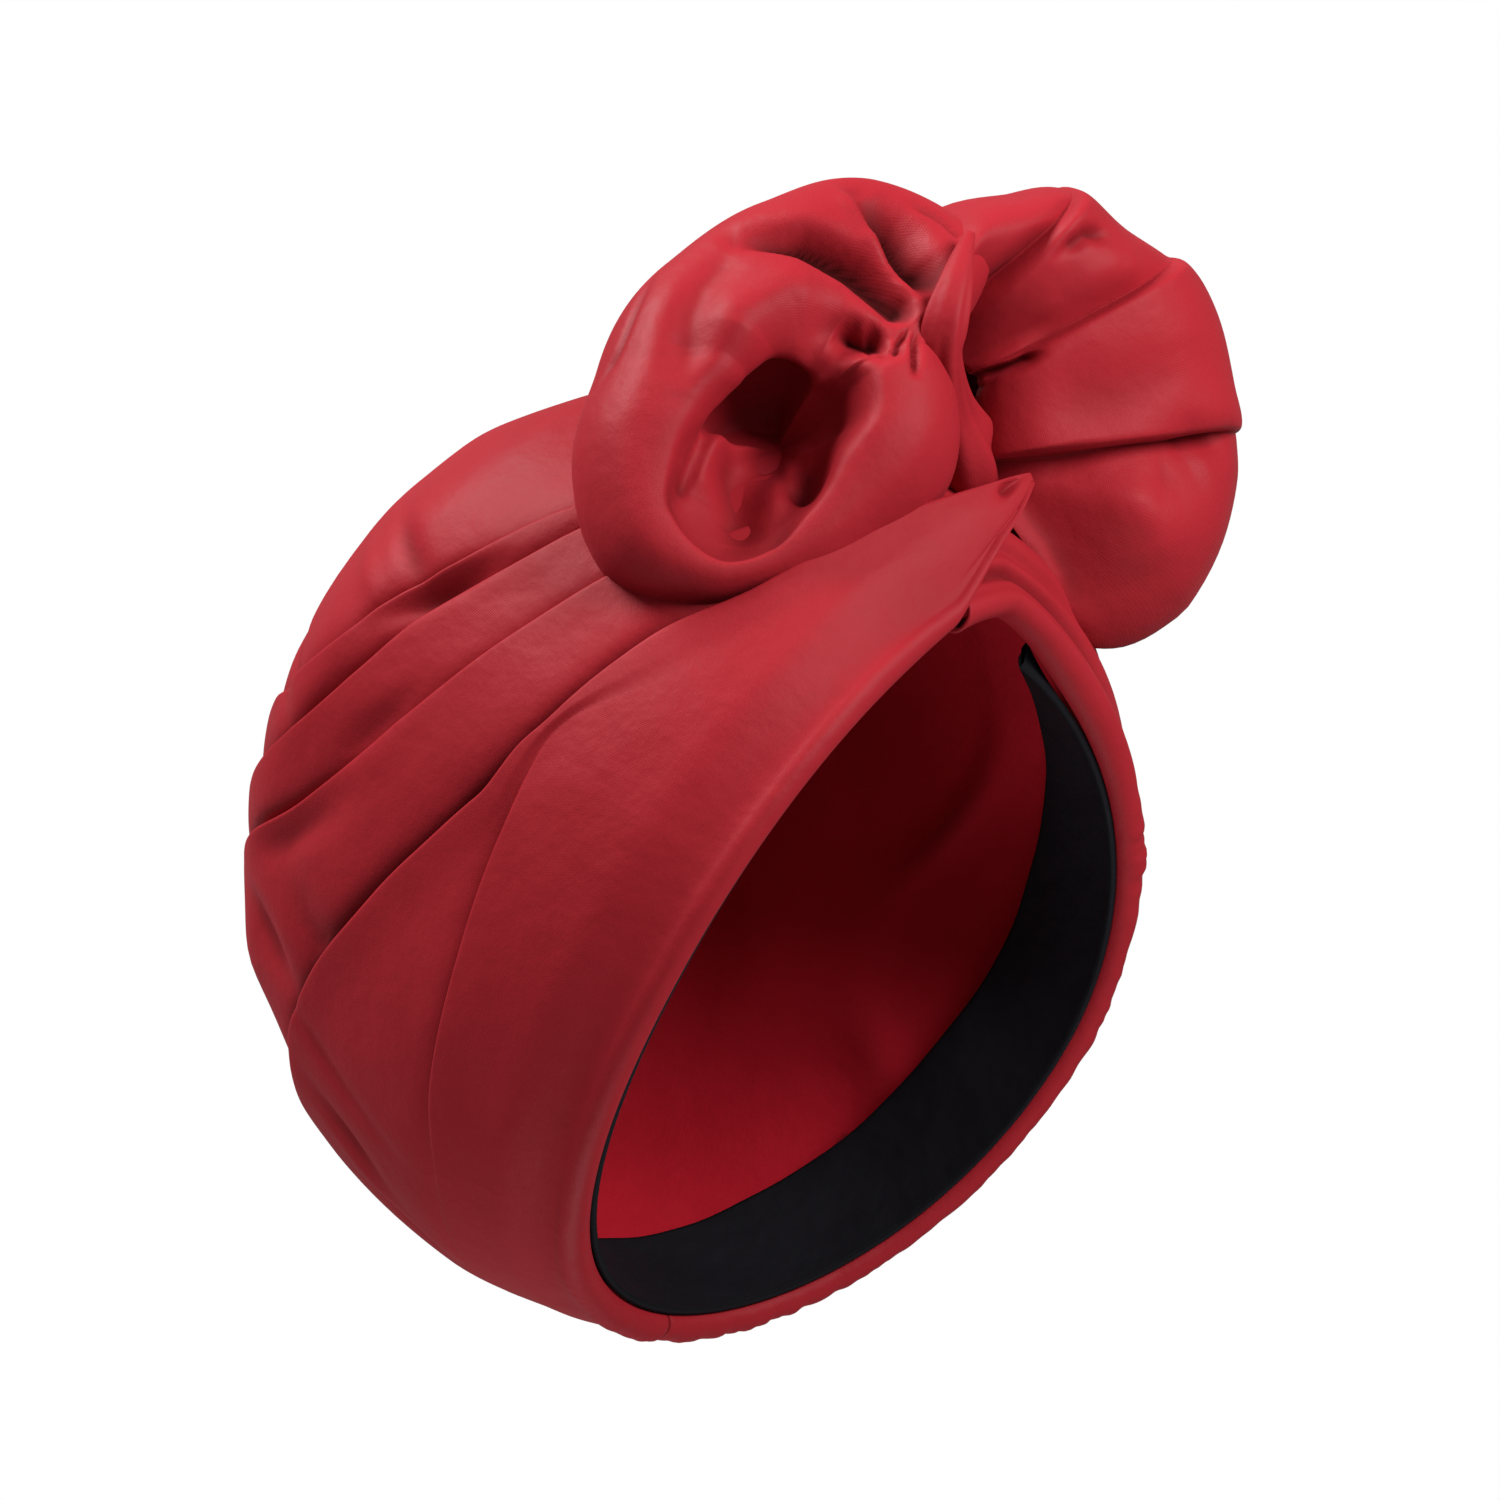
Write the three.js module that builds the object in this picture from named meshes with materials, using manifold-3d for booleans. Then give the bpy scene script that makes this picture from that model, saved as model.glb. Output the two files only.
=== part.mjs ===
import * as THREE from 'three';
import Module from 'manifold-3d';

// Turban headwrap, in millimetres. +Z is the crown, -Y the forehead, +X the wearer's left.
// The origin is the centre of the rim's oval, where a head carries the cap.
// Angles around the head start at the forehead and are positive to the wearer's left.

// Driving sizes of the cap
const backLength = 132;        // from the origin to the fullest point at the back
const frontLength = 110;       // from the origin to the fullest point at the front
const halfWidth = 98.5;        // from the origin to the fullest point at a side
const crownHeight = 198;       // rim plane to the top
const peakHeight = 33;         // rise of the rim at the forehead
const peakSpread = 54;         // degrees over which that rise fades
const rimWave = 4.5;           // the rim dips at the temples and rises at the nape
const rimHalfWidth = 75;       // inside of the comfort band, across
const rimBackLength = 97;      // inside of the comfort band, to the back
const rimFrontLength = 85;     // inside of the rim, to the forehead

// Cloth and clearances
const wall = 1.6;              // folded satin
const liningWall = 1.2;
const bandWall = 2;            // doubled velvet
const gap = 0.4;               // between neighbouring pieces
const knotGap = 0.7;           // between the knot's pieces, and from them to the bands
const hemDepth = 4.5;          // how far the rolled hem hangs below the rim line
const innerBandHeight = 36;
const innerBandFlare = 4;      // the comfort band is this much wider at its upper edge
const innerBandFrontGap = 11;  // degrees left free each side of the forehead
const pleatDepth = 4;
const bandPleatDepth = 1.4;
const liningDrop = 9;          // from the cap's outside to the lining's outside

// Where the two wrap bands meet the knot
const rightBandEnd = 2;        // degrees from the forehead
const leftBandEnd = -9;        // past the forehead, under the right band
const rightBandLift = 22;      // how far the right band's end stands off the cap
const leftBandLift = 4;
const bandLiftSpread = 13;     // degrees
const rightTipRise = 13;       // the right band's lower edge climbs to its tip
const backSeamGap = 0.25;      // degrees left each side of the seam at the back

// Knot
const knotRoot = new THREE.Vector3(-4, -127, 87);
const knotTurn = 70;           // degrees the knot's face is turned to the wearer's right
const knotTip = 37;            // degrees the face looks down
const knotRoll = 45;           // degrees the face is rolled
const fanLength = 85;
const fanTurn = 25;            // degrees the fanned loop turns away from the knot's face
const fanFront = 24;
const fanBack = 34;
const fanProud = 4;            // height of the fan's folds
const loopRadius = 52;
const loopAside = 37;          // from the root to the open loop's centre, across the knot's face
const loopBelow = 8.5;
const loopAhead = 36;
const loopTiltUp = 20;         // degrees the open loop's mouth turns from the knot's face
const loopTiltIn = 10;
const loopFront = 16;
const loopBack = 34;
const twistRadius = 11;

// Counts of facets
const aroundCount = 56;
const fanRows = 14;
const loopCount = 34;
const loopRows = 11;
const twistRows = 10;
const twistSides = 16;

// The cap's sections from rim to top, as shares of its full lengths
const capSections = [
  { up: 0.00, back: 0.820, side: 0.853, front: 0.890 },
  { up: 0.10, back: 0.880, side: 0.944, front: 0.964 },
  { up: 0.25, back: 0.962, side: 0.990, front: 1.000 },
  { up: 0.45, back: 1.000, side: 1.000, front: 1.000 },
  { up: 0.65, back: 0.902, side: 0.985, front: 0.918 },
  { up: 0.82, back: 0.735, side: 0.792, front: 0.718 },
  { up: 0.94, back: 0.470, side: 0.437, front: 0.473 },
  { up: 1.00, back: 0.000, side: 0.000, front: 0.000 },
];

// How far up each crease lies, as a share of the height, at angles from the forehead
const creases = [
  { at: 0, band: 0.105, low: 0.19, middle: 0.27, high: 0.33, fold: 0.06 },
  { at: 25, band: 0.150, low: 0.24, middle: 0.33, high: 0.38, fold: 0.09 },
  { at: 45, band: 0.190, low: 0.31, middle: 0.41, high: 0.45, fold: 0.13 },
  { at: 60, band: 0.252, low: 0.378, middle: 0.475, high: 0.531, fold: 0.18 },
  { at: 78, band: 0.296, low: 0.450, middle: 0.567, high: 0.630, fold: 0.272 },
  { at: 90, band: 0.333, low: 0.503, middle: 0.608, high: 0.680, fold: 0.262 },
  { at: 106, band: 0.400, low: 0.591, middle: 0.694, high: 0.793, fold: 0.234 },
  { at: 122, band: 0.473, low: 0.710, middle: 0.785, high: 0.860, fold: 0.214 },
  { at: 136, band: 0.512, low: 0.755, middle: 0.825, high: 0.890, fold: 0.189 },
  { at: 180, band: 0.545, low: 0.790, middle: 0.860, high: 0.915, fold: 0.175 },
];

// The fanned loop, a row for each fold: reach of its outline from the root, at angles across the
// fan, and how proud the cloth stands there
const fanSections = [
  { at: 98, reach: 0.46, proud: 0.0 },
  { at: 84, reach: 0.56, proud: 0.0 },
  { at: 69, reach: 0.64, proud: 0.1 },
  { at: 58, reach: 0.75, proud: -0.2 },
  { at: 55, reach: 0.77, proud: 0.4 },
  { at: 42, reach: 0.80, proud: 0.5 },
  { at: 31, reach: 0.88, proud: 0.2 },
  { at: 28, reach: 0.91, proud: 1.0 },
  { at: 15, reach: 0.93, proud: 1.1 },
  { at: 4, reach: 0.95, proud: 1.0 },
  { at: -3, reach: 0.99, proud: 0.9 },
  { at: -6, reach: 0.99, proud: -0.7 },
  { at: -13, reach: 1.00, proud: -0.2 },
  { at: -22, reach: 0.985, proud: 0.1 },
  { at: -35, reach: 0.99, proud: 0.1 },
  { at: -48, reach: 0.97, proud: 0.0 },
];

// The open loop: its outline and the lip of its hollow round its own centre, from the knot's side
const loopSections = [
  { at: 0, outline: 0.80, lip: 0.42, front: 1.00 },
  { at: 20, outline: 1.36, lip: 0.36, front: 0.90 },
  { at: 45, outline: 1.32, lip: 0.32, front: 0.80 },
  { at: 70, outline: 1.10, lip: 0.32, front: 0.95 },
  { at: 102, outline: 0.94, lip: 0.31, front: 1.00 },
  { at: 141, outline: 0.90, lip: 0.36, front: 1.00 },
  { at: 171, outline: 1.02, lip: 0.50, front: 0.90 },
  { at: 200, outline: 1.14, lip: 0.72, front: 0.70 },
  { at: 220, outline: 1.04, lip: 0.76, front: 0.60 },
  { at: 245, outline: 0.86, lip: 0.62, front: 0.60 },
  { at: 279, outline: 0.73, lip: 0.45, front: 0.80 },
  { at: 320, outline: 0.79, lip: 0.38, front: 1.00 },
  { at: 360, outline: 0.80, lip: 0.42, front: 1.00 },
];

// The twist from its tab down to its seat, in shares of the twist's radius
const twistSections = [
  { right: 0.5, up: 3.5, out: 1.0, size: 0.18 },
  { right: 0.2, up: 2.4, out: 1.6, size: 0.42 },
  { right: 0.1, up: 1.2, out: 2.1, size: 0.66 },
  { right: 0.1, up: 0.1, out: 1.6, size: 0.90 },
  { right: 0.1, up: -0.5, out: 0.2, size: 1.00 },
  { right: 0.1, up: -0.9, out: -1.6, size: 1.00 },
];

const radians = THREE.MathUtils.degToRad;
const degrees = THREE.MathUtils.radToDeg;

// A smooth column of a table, without overshoot
function column(table, key, name) {
  const slopes = table.map((row, i) => {
    if (i === 0 || i === table.length - 1) {
      return 0;
    }
    const before = (row[name] - table[i - 1][name]) / (row[key] - table[i - 1][key]);
    const after = (table[i + 1][name] - row[name]) / (table[i + 1][key] - row[key]);
    return before * after > 0 ? (2 * before * after) / (before + after) : 0;
  });
  const rising = table[1][key] > table[0][key] ? 1 : -1;
  return (value) => {
    let i = 0;
    while (i < table.length - 2 && (value - table[i + 1][key]) * rising > 0) {
      i += 1;
    }
    const span = table[i + 1][key] - table[i][key];
    const f = THREE.MathUtils.clamp((value - table[i][key]) / span, 0, 1);
    const f2 = f * f;
    const f3 = f2 * f;
    return (2 * f3 - 3 * f2 + 1) * table[i][name] + (f3 - 2 * f2 + f) * span * slopes[i]
      + (3 * f2 - 2 * f3) * table[i + 1][name] + (f3 - f2) * span * slopes[i + 1];
  };
}

const backShare = column(capSections, 'up', 'back');
const sideShare = column(capSections, 'up', 'side');
const frontShare = column(capSections, 'up', 'front');
const bandCrease = column(creases, 'at', 'band');
const lowCrease = column(creases, 'at', 'low');
const middleCrease = column(creases, 'at', 'middle');
const highCrease = column(creases, 'at', 'high');
const foldCrease = column(creases, 'at', 'fold');

function rimHeight(angle) {
  const rise = Math.exp(-((Math.abs(angle) / radians(peakSpread)) ** 1.3));
  return peakHeight * rise + rimWave * Math.cos(2 * angle);
}

function capPoint(angle, up) {
  const ahead = Math.cos(angle) > 0;
  const length = ahead ? frontLength * frontShare(up) : backLength * backShare(up);
  return new THREE.Vector3(
    halfWidth * sideShare(up) * Math.sin(angle),
    -length * Math.cos(angle),
    rimHeight(angle) * (1 - up) ** 1.5 + up * crownHeight,
  );
}

function capNormal(angle, up) {
  const step = 0.01;
  const at = THREE.MathUtils.clamp(up, 0.02, 0.97);
  const across = capPoint(angle + step, at).sub(capPoint(angle - step, at));
  const along = capPoint(angle, at + step).sub(capPoint(angle, at - step));
  return across.cross(along).normalize();
}

// A point standing off the cap's outside; near the top the offset turns to +Z
function offCap(angle, up, offset) {
  const normal = capNormal(angle, up);
  const top = THREE.MathUtils.smoothstep(up, 0.93, 1);
  normal.lerp(new THREE.Vector3(0, 0, 1), top).normalize();
  return capPoint(angle, up).addScaledVector(normal, offset);
}

// A closed sheet between two grids of points, outer[i][j] and inner[i][j]
function sheetSolid(outer, inner, closed) {
  const positions = [];
  const index = [];
  const known = new Map();
  const corner = (point) => {
    const key = point.toArray().map((value) => Math.round(value * 1e4)).join();
    if (!known.has(key)) {
      known.set(key, known.size);
      positions.push(point.x, point.y, point.z);
    }
    return known.get(key);
  };
  const triangle = (a, b, c) => {
    if (a !== b && b !== c && c !== a) {
      index.push(a, b, c);
    }
  };
  const quad = (a, b, c, d) => {
    const [i, j, k, l] = [a, b, c, d].map(corner);
    triangle(i, j, k);
    triangle(i, k, l);
  };
  const count = outer.length;
  const last = outer[0].length - 1;
  for (let i = 0; i < (closed ? count : count - 1); i += 1) {
    const next = (i + 1) % count;
    for (let j = 0; j < last; j += 1) {
      quad(outer[i][j], outer[next][j], outer[next][j + 1], outer[i][j + 1]);
      quad(inner[i][j], inner[i][j + 1], inner[next][j + 1], inner[next][j]);
    }
    quad(inner[i][0], inner[next][0], outer[next][0], outer[i][0]);
    quad(outer[i][last], outer[next][last], inner[next][last], inner[i][last]);
  }
  if (!closed) {
    for (let j = 0; j < last; j += 1) {
      quad(inner[0][j], outer[0][j], outer[0][j + 1], inner[0][j + 1]);
      quad(outer[count - 1][j], inner[count - 1][j], inner[count - 1][j + 1], outer[count - 1][j + 1]);
    }
  }
  return facingOut(positions, index);
}

// A closed body between rings of points, with flat ends
function tubeSolid(rings) {
  const sides = rings[0].length;
  const positions = rings.flat().flatMap((point) => point.toArray());
  const index = [];
  for (let i = 0; i + 1 < rings.length; i += 1) {
    for (let j = 0; j < sides; j += 1) {
      const next = (j + 1) % sides;
      index.push(i * sides + j, i * sides + next, (i + 1) * sides + next);
      index.push(i * sides + j, (i + 1) * sides + next, (i + 1) * sides + j);
    }
  }
  const end = (rings.length - 1) * sides;
  for (let j = 1; j + 1 < sides; j += 1) {
    index.push(0, j + 1, j);
    index.push(end, end + j, end + j + 1);
  }
  return facingOut(positions, index);
}

function facingOut(positions, index) {
  let volume = 0;
  const [a, b, c] = [new THREE.Vector3(), new THREE.Vector3(), new THREE.Vector3()];
  for (let i = 0; i < index.length; i += 3) {
    a.fromArray(positions, 3 * index[i]);
    b.fromArray(positions, 3 * index[i + 1]);
    c.fromArray(positions, 3 * index[i + 2]);
    volume += a.dot(b.cross(c)) / 6;
  }
  const geometry = new THREE.BufferGeometry();
  geometry.setAttribute('position', new THREE.Float32BufferAttribute(positions, 3));
  geometry.setIndex(volume < 0 ? index.toReversed() : index);
  return geometry;
}

// Angles of the facets round the cap; every layer shares them, so facing facets stay parallel
const aroundAngles = Array.from({ length: aroundCount }, (_, i) => (2 * Math.PI * i) / aroundCount - Math.PI);

// How deep a pleat is at an angle: full at the side, fading to the forehead and to the back
function pleatFade(angle, start, full, fading, gone) {
  const away = degrees(Math.abs(angle));
  return THREE.MathUtils.smoothstep(away, start, full) * (1 - THREE.MathUtils.smoothstep(away, fading, gone));
}

// Rows of the cap from the rim to the top: height share and offset from the cap's outside
function coveredRows(angle) {
  const away = degrees(Math.abs(angle));
  const edge = bandCrease(away);
  const fold = foldCrease(away);
  return [0.03 * edge, 0.5 * fold, 0.5 * (fold + edge), edge];
}

function crownRows(angle) {
  const away = degrees(Math.abs(angle));
  const fade = pleatFade(angle, 20, 45, 125, 168);
  const dip = pleatDepth * fade;
  const under = -(wall + gap + bandPleatDepth);
  const band = bandCrease(away);
  const low = lowCrease(away);
  const middle = middleCrease(away);
  const high = highCrease(away);
  const between = (a, b, f) => a + (b - a) * f;
  const step = 0.007;
  return [
    ...coveredRows(angle).map((up) => ({ up, offset: under })),
    { up: band + 2 * step, offset: under },
    { up: between(band, low, 0.5), offset: -0.4 * dip },
    { up: low - step, offset: 0.15 * dip },
    { up: low + step, offset: -0.8 * dip },
    { up: between(low, middle, 0.55), offset: -0.25 * dip },
    { up: middle - step, offset: 0 },
    { up: middle + step, offset: -dip },
    { up: high - step, offset: -0.3 * dip },
    { up: high + step, offset: -0.6 * dip },
    { up: between(high, 1, 0.3), offset: 0 },
    { up: between(high, 1, 0.6), offset: 0 },
    { up: between(high, 1, 0.85), offset: 0 },
    { up: 1, offset: 0 },
  ];
}

function crown() {
  const skin = (inset) => aroundAngles.map((angle) => (
    crownRows(angle).map((row) => offCap(angle, row.up, row.offset - inset))));
  return sheetSolid(skin(0), skin(wall), true);
}

// The lining is a plain cap inside the crown's deepest pleats
const liningShares = [0.014, 0.16, 0.34, 0.52, 0.70, 0.86, 1];

function lining() {
  const skin = (inset) => aroundAngles.map((angle) => (
    liningShares.map((up) => offCap(angle, up, -liningOffset(up) - inset))));
  return sheetSolid(skin(0), skin(liningWall), true);
}

function liningOffset(up) {
  const hemmed = 2 * wall + 2 * gap + bandPleatDepth;
  return hemmed + (liningDrop - hemmed) * THREE.MathUtils.smoothstep(up, 0, 0.3);
}

// Oval of the rim: inset is how far outside the comfort band's inner face a point lies
function rimOval(angle, inset) {
  const length = Math.cos(angle) > 0 ? rimFrontLength : rimBackLength;
  return new THREE.Vector3(
    (rimHalfWidth + inset) * Math.sin(angle),
    -(length + inset) * Math.cos(angle),
    rimHeight(angle),
  );
}

function innerBand() {
  const start = radians(innerBandFrontGap);
  const left = [start, ...aroundAngles.filter((angle) => angle > start + 0.02)];
  const right = left.map((angle) => -angle).toReversed();
  const angles = [...left, ...aroundAngles.slice(0, 1), ...right];
  const heights = [0, 0.5, 1];
  const skin = (inset) => angles.map((angle) => heights.map((share) => {
    const point = rimOval(angle, inset + share * innerBandFlare);
    point.z += share * innerBandHeight * (1 - 0.3 * rimHeight(angle) / peakHeight);
    return point;
  }));
  return sheetSolid(skin(bandWall), skin(0), false);
}

// A wrap band from its end at the knot round to the seam at the back; side is -1 on the wearer's
// right, and grow is a clearance round it
function wrapBand(side, end, lift, tipRise, grow) {
  const last = Math.PI - radians(backSeamGap);
  const step = (2 * Math.PI) / aroundCount;
  const angles = [radians(end)];
  for (let angle = step * Math.ceil(angles[0] / step + 0.3); angle < last - 0.3 * step; angle += step) {
    angles.push(angle);
  }
  angles.push(last);
  const skin = (inset) => angles.map((angle) => (
    bandSection(side * angle, angle, inset, lift, tipRise, grow)));
  return sheetSolid(skin(-grow), skin(wall + grow), false);
}

function bandSection(angle, along, inset, lift, tipRise, grow) {
  const spreadAt = (share) => radians(bandLiftSpread * (1 + 0.7 * share));
  const nearAt = (share) => Math.exp(-((Math.abs(along) / spreadAt(share)) ** 1.5));
  const near = nearAt(0);
  const tip = Math.exp(-((Math.abs(along) / radians(0.6 * bandLiftSpread)) ** 1.5));
  const away = degrees(Math.abs(angle));
  const edge = bandCrease(away);
  const fold = foldCrease(away);
  const start = Math.max(0, (tipRise / crownHeight) * tip);
  const rise = (up) => start + (edge + 0.02 * tip - start) * (up / edge);
  const dip = bandPleatDepth * pleatFade(angle, 70, 90, 150, 172);
  const puff = 1.0 * pleatFade(angle, 25, 50, 140, 172);
  const step = 0.006;
  const rows = [
    { up: 0.03 * edge, offset: 0 },
    { up: 0.5 * fold, offset: 0 },
    { up: fold - step, offset: 0 },
    { up: fold + step, offset: -dip },
    { up: 0.5 * (fold + edge), offset: -0.3 * dip },
    { up: edge + (2 * grow) / crownHeight, offset: puff },
  ];
  const outside = rows.map((row) => (
    offCap(angle, rise(row.up), row.offset + lift * nearAt(row.up / edge) - inset)));
  const foot = outside[0];
  const flat = capNormal(angle, 0.02).setZ(0).normalize();
  const turned = rimOval(angle, bandWall + gap + inset);
  turned.addScaledVector(flat, lift * near);
  turned.z += start * crownHeight;
  const narrowed = foot.clone().addScaledVector(flat, 2 * inset - hemDepth);
  turned.lerp(narrowed, Math.min(1, 2 * near));
  const middle = foot.clone().add(turned).multiplyScalar(0.5);
  const half = foot.clone().sub(turned).multiplyScalar(0.5);
  const roll = [180, 120, 60].map((turn) => middle.clone()
    .addScaledVector(half, Math.cos(radians(turn)))
    .add(new THREE.Vector3(0, 0, -(hemDepth - inset) * Math.sin(radians(turn)))));
  return [...roll, ...outside];
}

// The knot's own axes: right, up and out of its face
const knotAxes = (() => {
  const turn = radians(knotTurn);
  const tip = radians(knotTip);
  const ahead = new THREE.Vector3(-Math.sin(turn), -Math.cos(turn), 0);
  const out = ahead.multiplyScalar(Math.cos(tip)).setZ(-Math.sin(tip));
  const level = new THREE.Vector3(0, 0, 1).cross(out).normalize();
  const right = level.applyAxisAngle(out, -radians(knotRoll));
  const up = out.clone().cross(right);
  return { right, up, out };
})();

function knotPoint(right, up, out) {
  return knotRoot.clone().addScaledVector(knotAxes.right, right)
    .addScaledVector(knotAxes.up, up).addScaledVector(knotAxes.out, out);
}

// The fanned loop leaves the root, runs out over its outline and turns back behind
const fanProfile = new THREE.SplineCurve([
  [0.10, -0.05], [0.24, 0.45], [0.45, 0.85], [0.68, 1.0], [0.88, 0.72], [1.0, 0.05],
  [0.97, -0.45], [0.80, -0.85], [0.55, -1.0], [0.30, -0.95],
].map(([reach, height]) => new THREE.Vector2(reach, height)));

function fanLoop() {
  const across = knotAxes.right.clone().applyAxisAngle(knotAxes.up, radians(fanTurn));
  const out = across.clone().cross(knotAxes.up);
  const profile = fanProfile.getPoints(fanRows - 1);
  const skin = (inset) => fanSections.map((row) => {
    const along = across.clone().multiplyScalar(Math.cos(radians(row.at)))
      .addScaledVector(knotAxes.up, Math.sin(radians(row.at)));
    return profile.map((point, j) => {
      const before = profile[Math.max(0, j - 1)];
      const after = profile[Math.min(profile.length - 1, j + 1)];
      const length = fanLength * row.reach;
      const run = after.clone().sub(before).multiply(new THREE.Vector2(length, fanFront)).normalize();
      const proud = fanProud * row.proud * Math.sin(Math.PI * Math.min(1, point.x)) * (point.y > 0 ? 1 : 0);
      const reach = point.x * length + run.y * inset;
      const height = point.y * (point.y > 0 ? fanFront : fanBack) + proud - run.x * inset;
      return knotRoot.clone().addScaledVector(along, reach).addScaledVector(out, height);
    });
  });
  return sheetSolid(skin(0), skin(wall), false);
}

// The open loop is a puffed ring round its hollow, pinched to the knot's side and open behind
const outlineShare = column(loopSections, 'at', 'outline');
const lipShare = column(loopSections, 'at', 'lip');
const frontShareOfLoop = column(loopSections, 'at', 'front');

function openLoop(grow) {
  const centre = knotPoint(-loopAside, -loopBelow, loopAhead);
  const axis = knotAxes.out.clone()
    .addScaledVector(knotAxes.up, Math.tan(radians(loopTiltUp)))
    .addScaledVector(knotAxes.right, Math.tan(radians(loopTiltIn))).normalize();
  const toKnot = knotRoot.clone().sub(centre).projectOnPlane(axis).normalize();
  const side = axis.clone().cross(toKnot);
  const skin = (inset) => Array.from({ length: loopCount }, (_, i) => {
    const at = (360 * i) / loopCount;
    const along = toKnot.clone().multiplyScalar(Math.cos(radians(at)))
      .addScaledVector(side, Math.sin(radians(at)));
    const outline = loopRadius * outlineShare(at);
    const lip = loopRadius * lipShare(at);
    const front = loopFront * frontShareOfLoop(at);
    const between = (share) => lip + (outline - lip) * share;
    const profile = new THREE.SplineCurve([
      new THREE.Vector2(lip * 0.75, -loopBack),
      new THREE.Vector2(lip * 0.86, -loopBack * 0.4),
      new THREE.Vector2(lip, front * 0.45),
      new THREE.Vector2(between(0.3), front),
      new THREE.Vector2(between(0.7), front * 0.8),
      new THREE.Vector2(outline, 0),
      new THREE.Vector2(outline * 0.98, -loopBack * 0.45),
      new THREE.Vector2(outline * 0.86, -loopBack),
    ]).getPoints(loopRows - 1);
    return profile.map((point, j) => {
      const before = profile[Math.max(0, j - 1)];
      const after = profile[Math.min(profile.length - 1, j + 1)];
      const run = after.clone().sub(before).normalize();
      const stretch = j === 0 ? -grow : (j === profile.length - 1 ? grow : 0);
      return centre.clone().addScaledVector(along, point.x + run.y * inset + run.x * stretch)
        .addScaledVector(axis, point.y - run.x * inset + run.y * stretch);
    });
  });
  return sheetSolid(skin(-grow), skin(wall + grow), true);
}

// The twist: ribbed rings from the narrow tab down to the seat on the cap; grow is a clearance round it
function twist(grow) {
  const line = new THREE.CatmullRomCurve3(twistSections.map((row) => (
    knotPoint(row.right * twistRadius, row.up * twistRadius, row.out * twistRadius))));
  const sizes = twistSections.map((row, i) => ({ at: i / (twistSections.length - 1), size: row.size }));
  const size = column(sizes, 'at', 'size');
  const rings = Array.from({ length: twistRows }, (_, i) => {
    const share = i / (twistRows - 1);
    const centre = line.getPoint(share);
    const tangent = line.getTangent(share);
    const across = knotAxes.right.clone().projectOnPlane(tangent).normalize();
    const side = tangent.clone().cross(across);
    return Array.from({ length: twistSides }, (__, j) => {
      const turn = (2 * Math.PI * j) / twistSides;
      const rib = 1 + 0.12 * Math.cos(4 * turn + 2.5 * share);
      const radius = twistRadius * size(share) * rib + grow;
      return centre.clone().addScaledVector(across, radius * Math.cos(turn))
        .addScaledVector(side, radius * Math.sin(turn));
    });
  });
  rings[0] = rings[0].map((point) => point.addScaledVector(line.getTangent(0), -grow));
  return tubeSolid(rings);
}

// What the knot's pieces keep clear of: a full cap, swollen by the gap over the crown and its bands
function capGuard() {
  const rings = crownRows(0).map((_, j) => aroundAngles.map((angle) => {
    const row = crownRows(angle)[j];
    const covered = row.up <= bandCrease(degrees(Math.abs(angle))) + 1e-6;
    return offCap(angle, row.up, (covered ? 1.0 : row.offset) + gap);
  }));
  const foot = rings[0].map((point) => point.clone().setZ(point.z - 2 * hemDepth));
  const top = rings.pop();
  rings.push(aroundAngles.map((angle) => top[0].clone().addScaledVector(
    new THREE.Vector3(Math.sin(angle), -Math.cos(angle), 0), 0.01)));
  return tubeSolid([foot, ...rings]);
}

const wasm = await Module();
wasm.setup();

function toManifold(geometry) {
  return new wasm.Manifold(new wasm.Mesh({
    numProp: 3,
    vertProperties: geometry.attributes.position.array,
    triVerts: Uint32Array.from(geometry.index.array),
  }));
}

// Cuts the cutters from a body and keeps its main piece
function cutBy(geometry, cutters) {
  const cut = cutters.reduce((body, cutter) => body.subtract(toManifold(cutter)), toManifold(geometry));
  const main = cut.decompose().reduce((best, body) => (body.volume() > best.volume() ? body : best));
  const mesh = main.getMesh();
  const result = new THREE.BufferGeometry();
  result.setAttribute('position', new THREE.BufferAttribute(mesh.vertProperties, 3));
  result.setIndex(new THREE.BufferAttribute(mesh.triVerts, 1));
  return result;
}

function rightBand(grow) {
  return wrapBand(-1, rightBandEnd, rightBandLift, rightTipRise, grow);
}

function leftBand(grow) {
  return wrapBand(1, leftBandEnd, leftBandLift, 0, grow);
}

const satin = { color: 0xa52a32, roughness: 0.42, metalness: 0 };
const liningSatin = { color: 0x8e1219, roughness: 0.38, metalness: 0 };
const velvet = { color: 0x101114, roughness: 0.7, metalness: 0 };

const headwrap = new THREE.Group();

function addPiece(name, geometry, finish) {
  const piece = new THREE.Mesh(geometry, new THREE.MeshStandardMaterial(finish));
  piece.name = name;
  headwrap.add(piece);
}

const bodyOfCap = [capGuard(), rightBand(knotGap), leftBand(knotGap)];
addPiece('crown', crown(), satin);
addPiece('lining', lining(), liningSatin);
addPiece('inner_band', innerBand(), velvet);
addPiece('wrap_band_right', rightBand(0), satin);
addPiece('wrap_band_left', leftBand(0), satin);
addPiece('knot_twist', cutBy(twist(0), bodyOfCap), satin);
addPiece('knot_loop_right', cutBy(openLoop(0), [...bodyOfCap, twist(knotGap)]), satin);
addPiece('knot_loop_left', cutBy(fanLoop(), [...bodyOfCap, twist(knotGap), openLoop(knotGap)]), satin);

export default headwrap;
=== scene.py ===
# %% [markdown]
# # A pre-tied turban headwrap in red satin
# This lesson dresses a plain, solid model of a turban as cloth. Satin shows its shape through soft
# highlights, so nearly all the work is in the folds: the mesh has to bend where the cloth bends.
# Each piece is a sheet made by a formula, given a thickness, and finished with a satin material.

import math

import bpy
import numpy as np
from mathutils import Matrix, Vector


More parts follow.
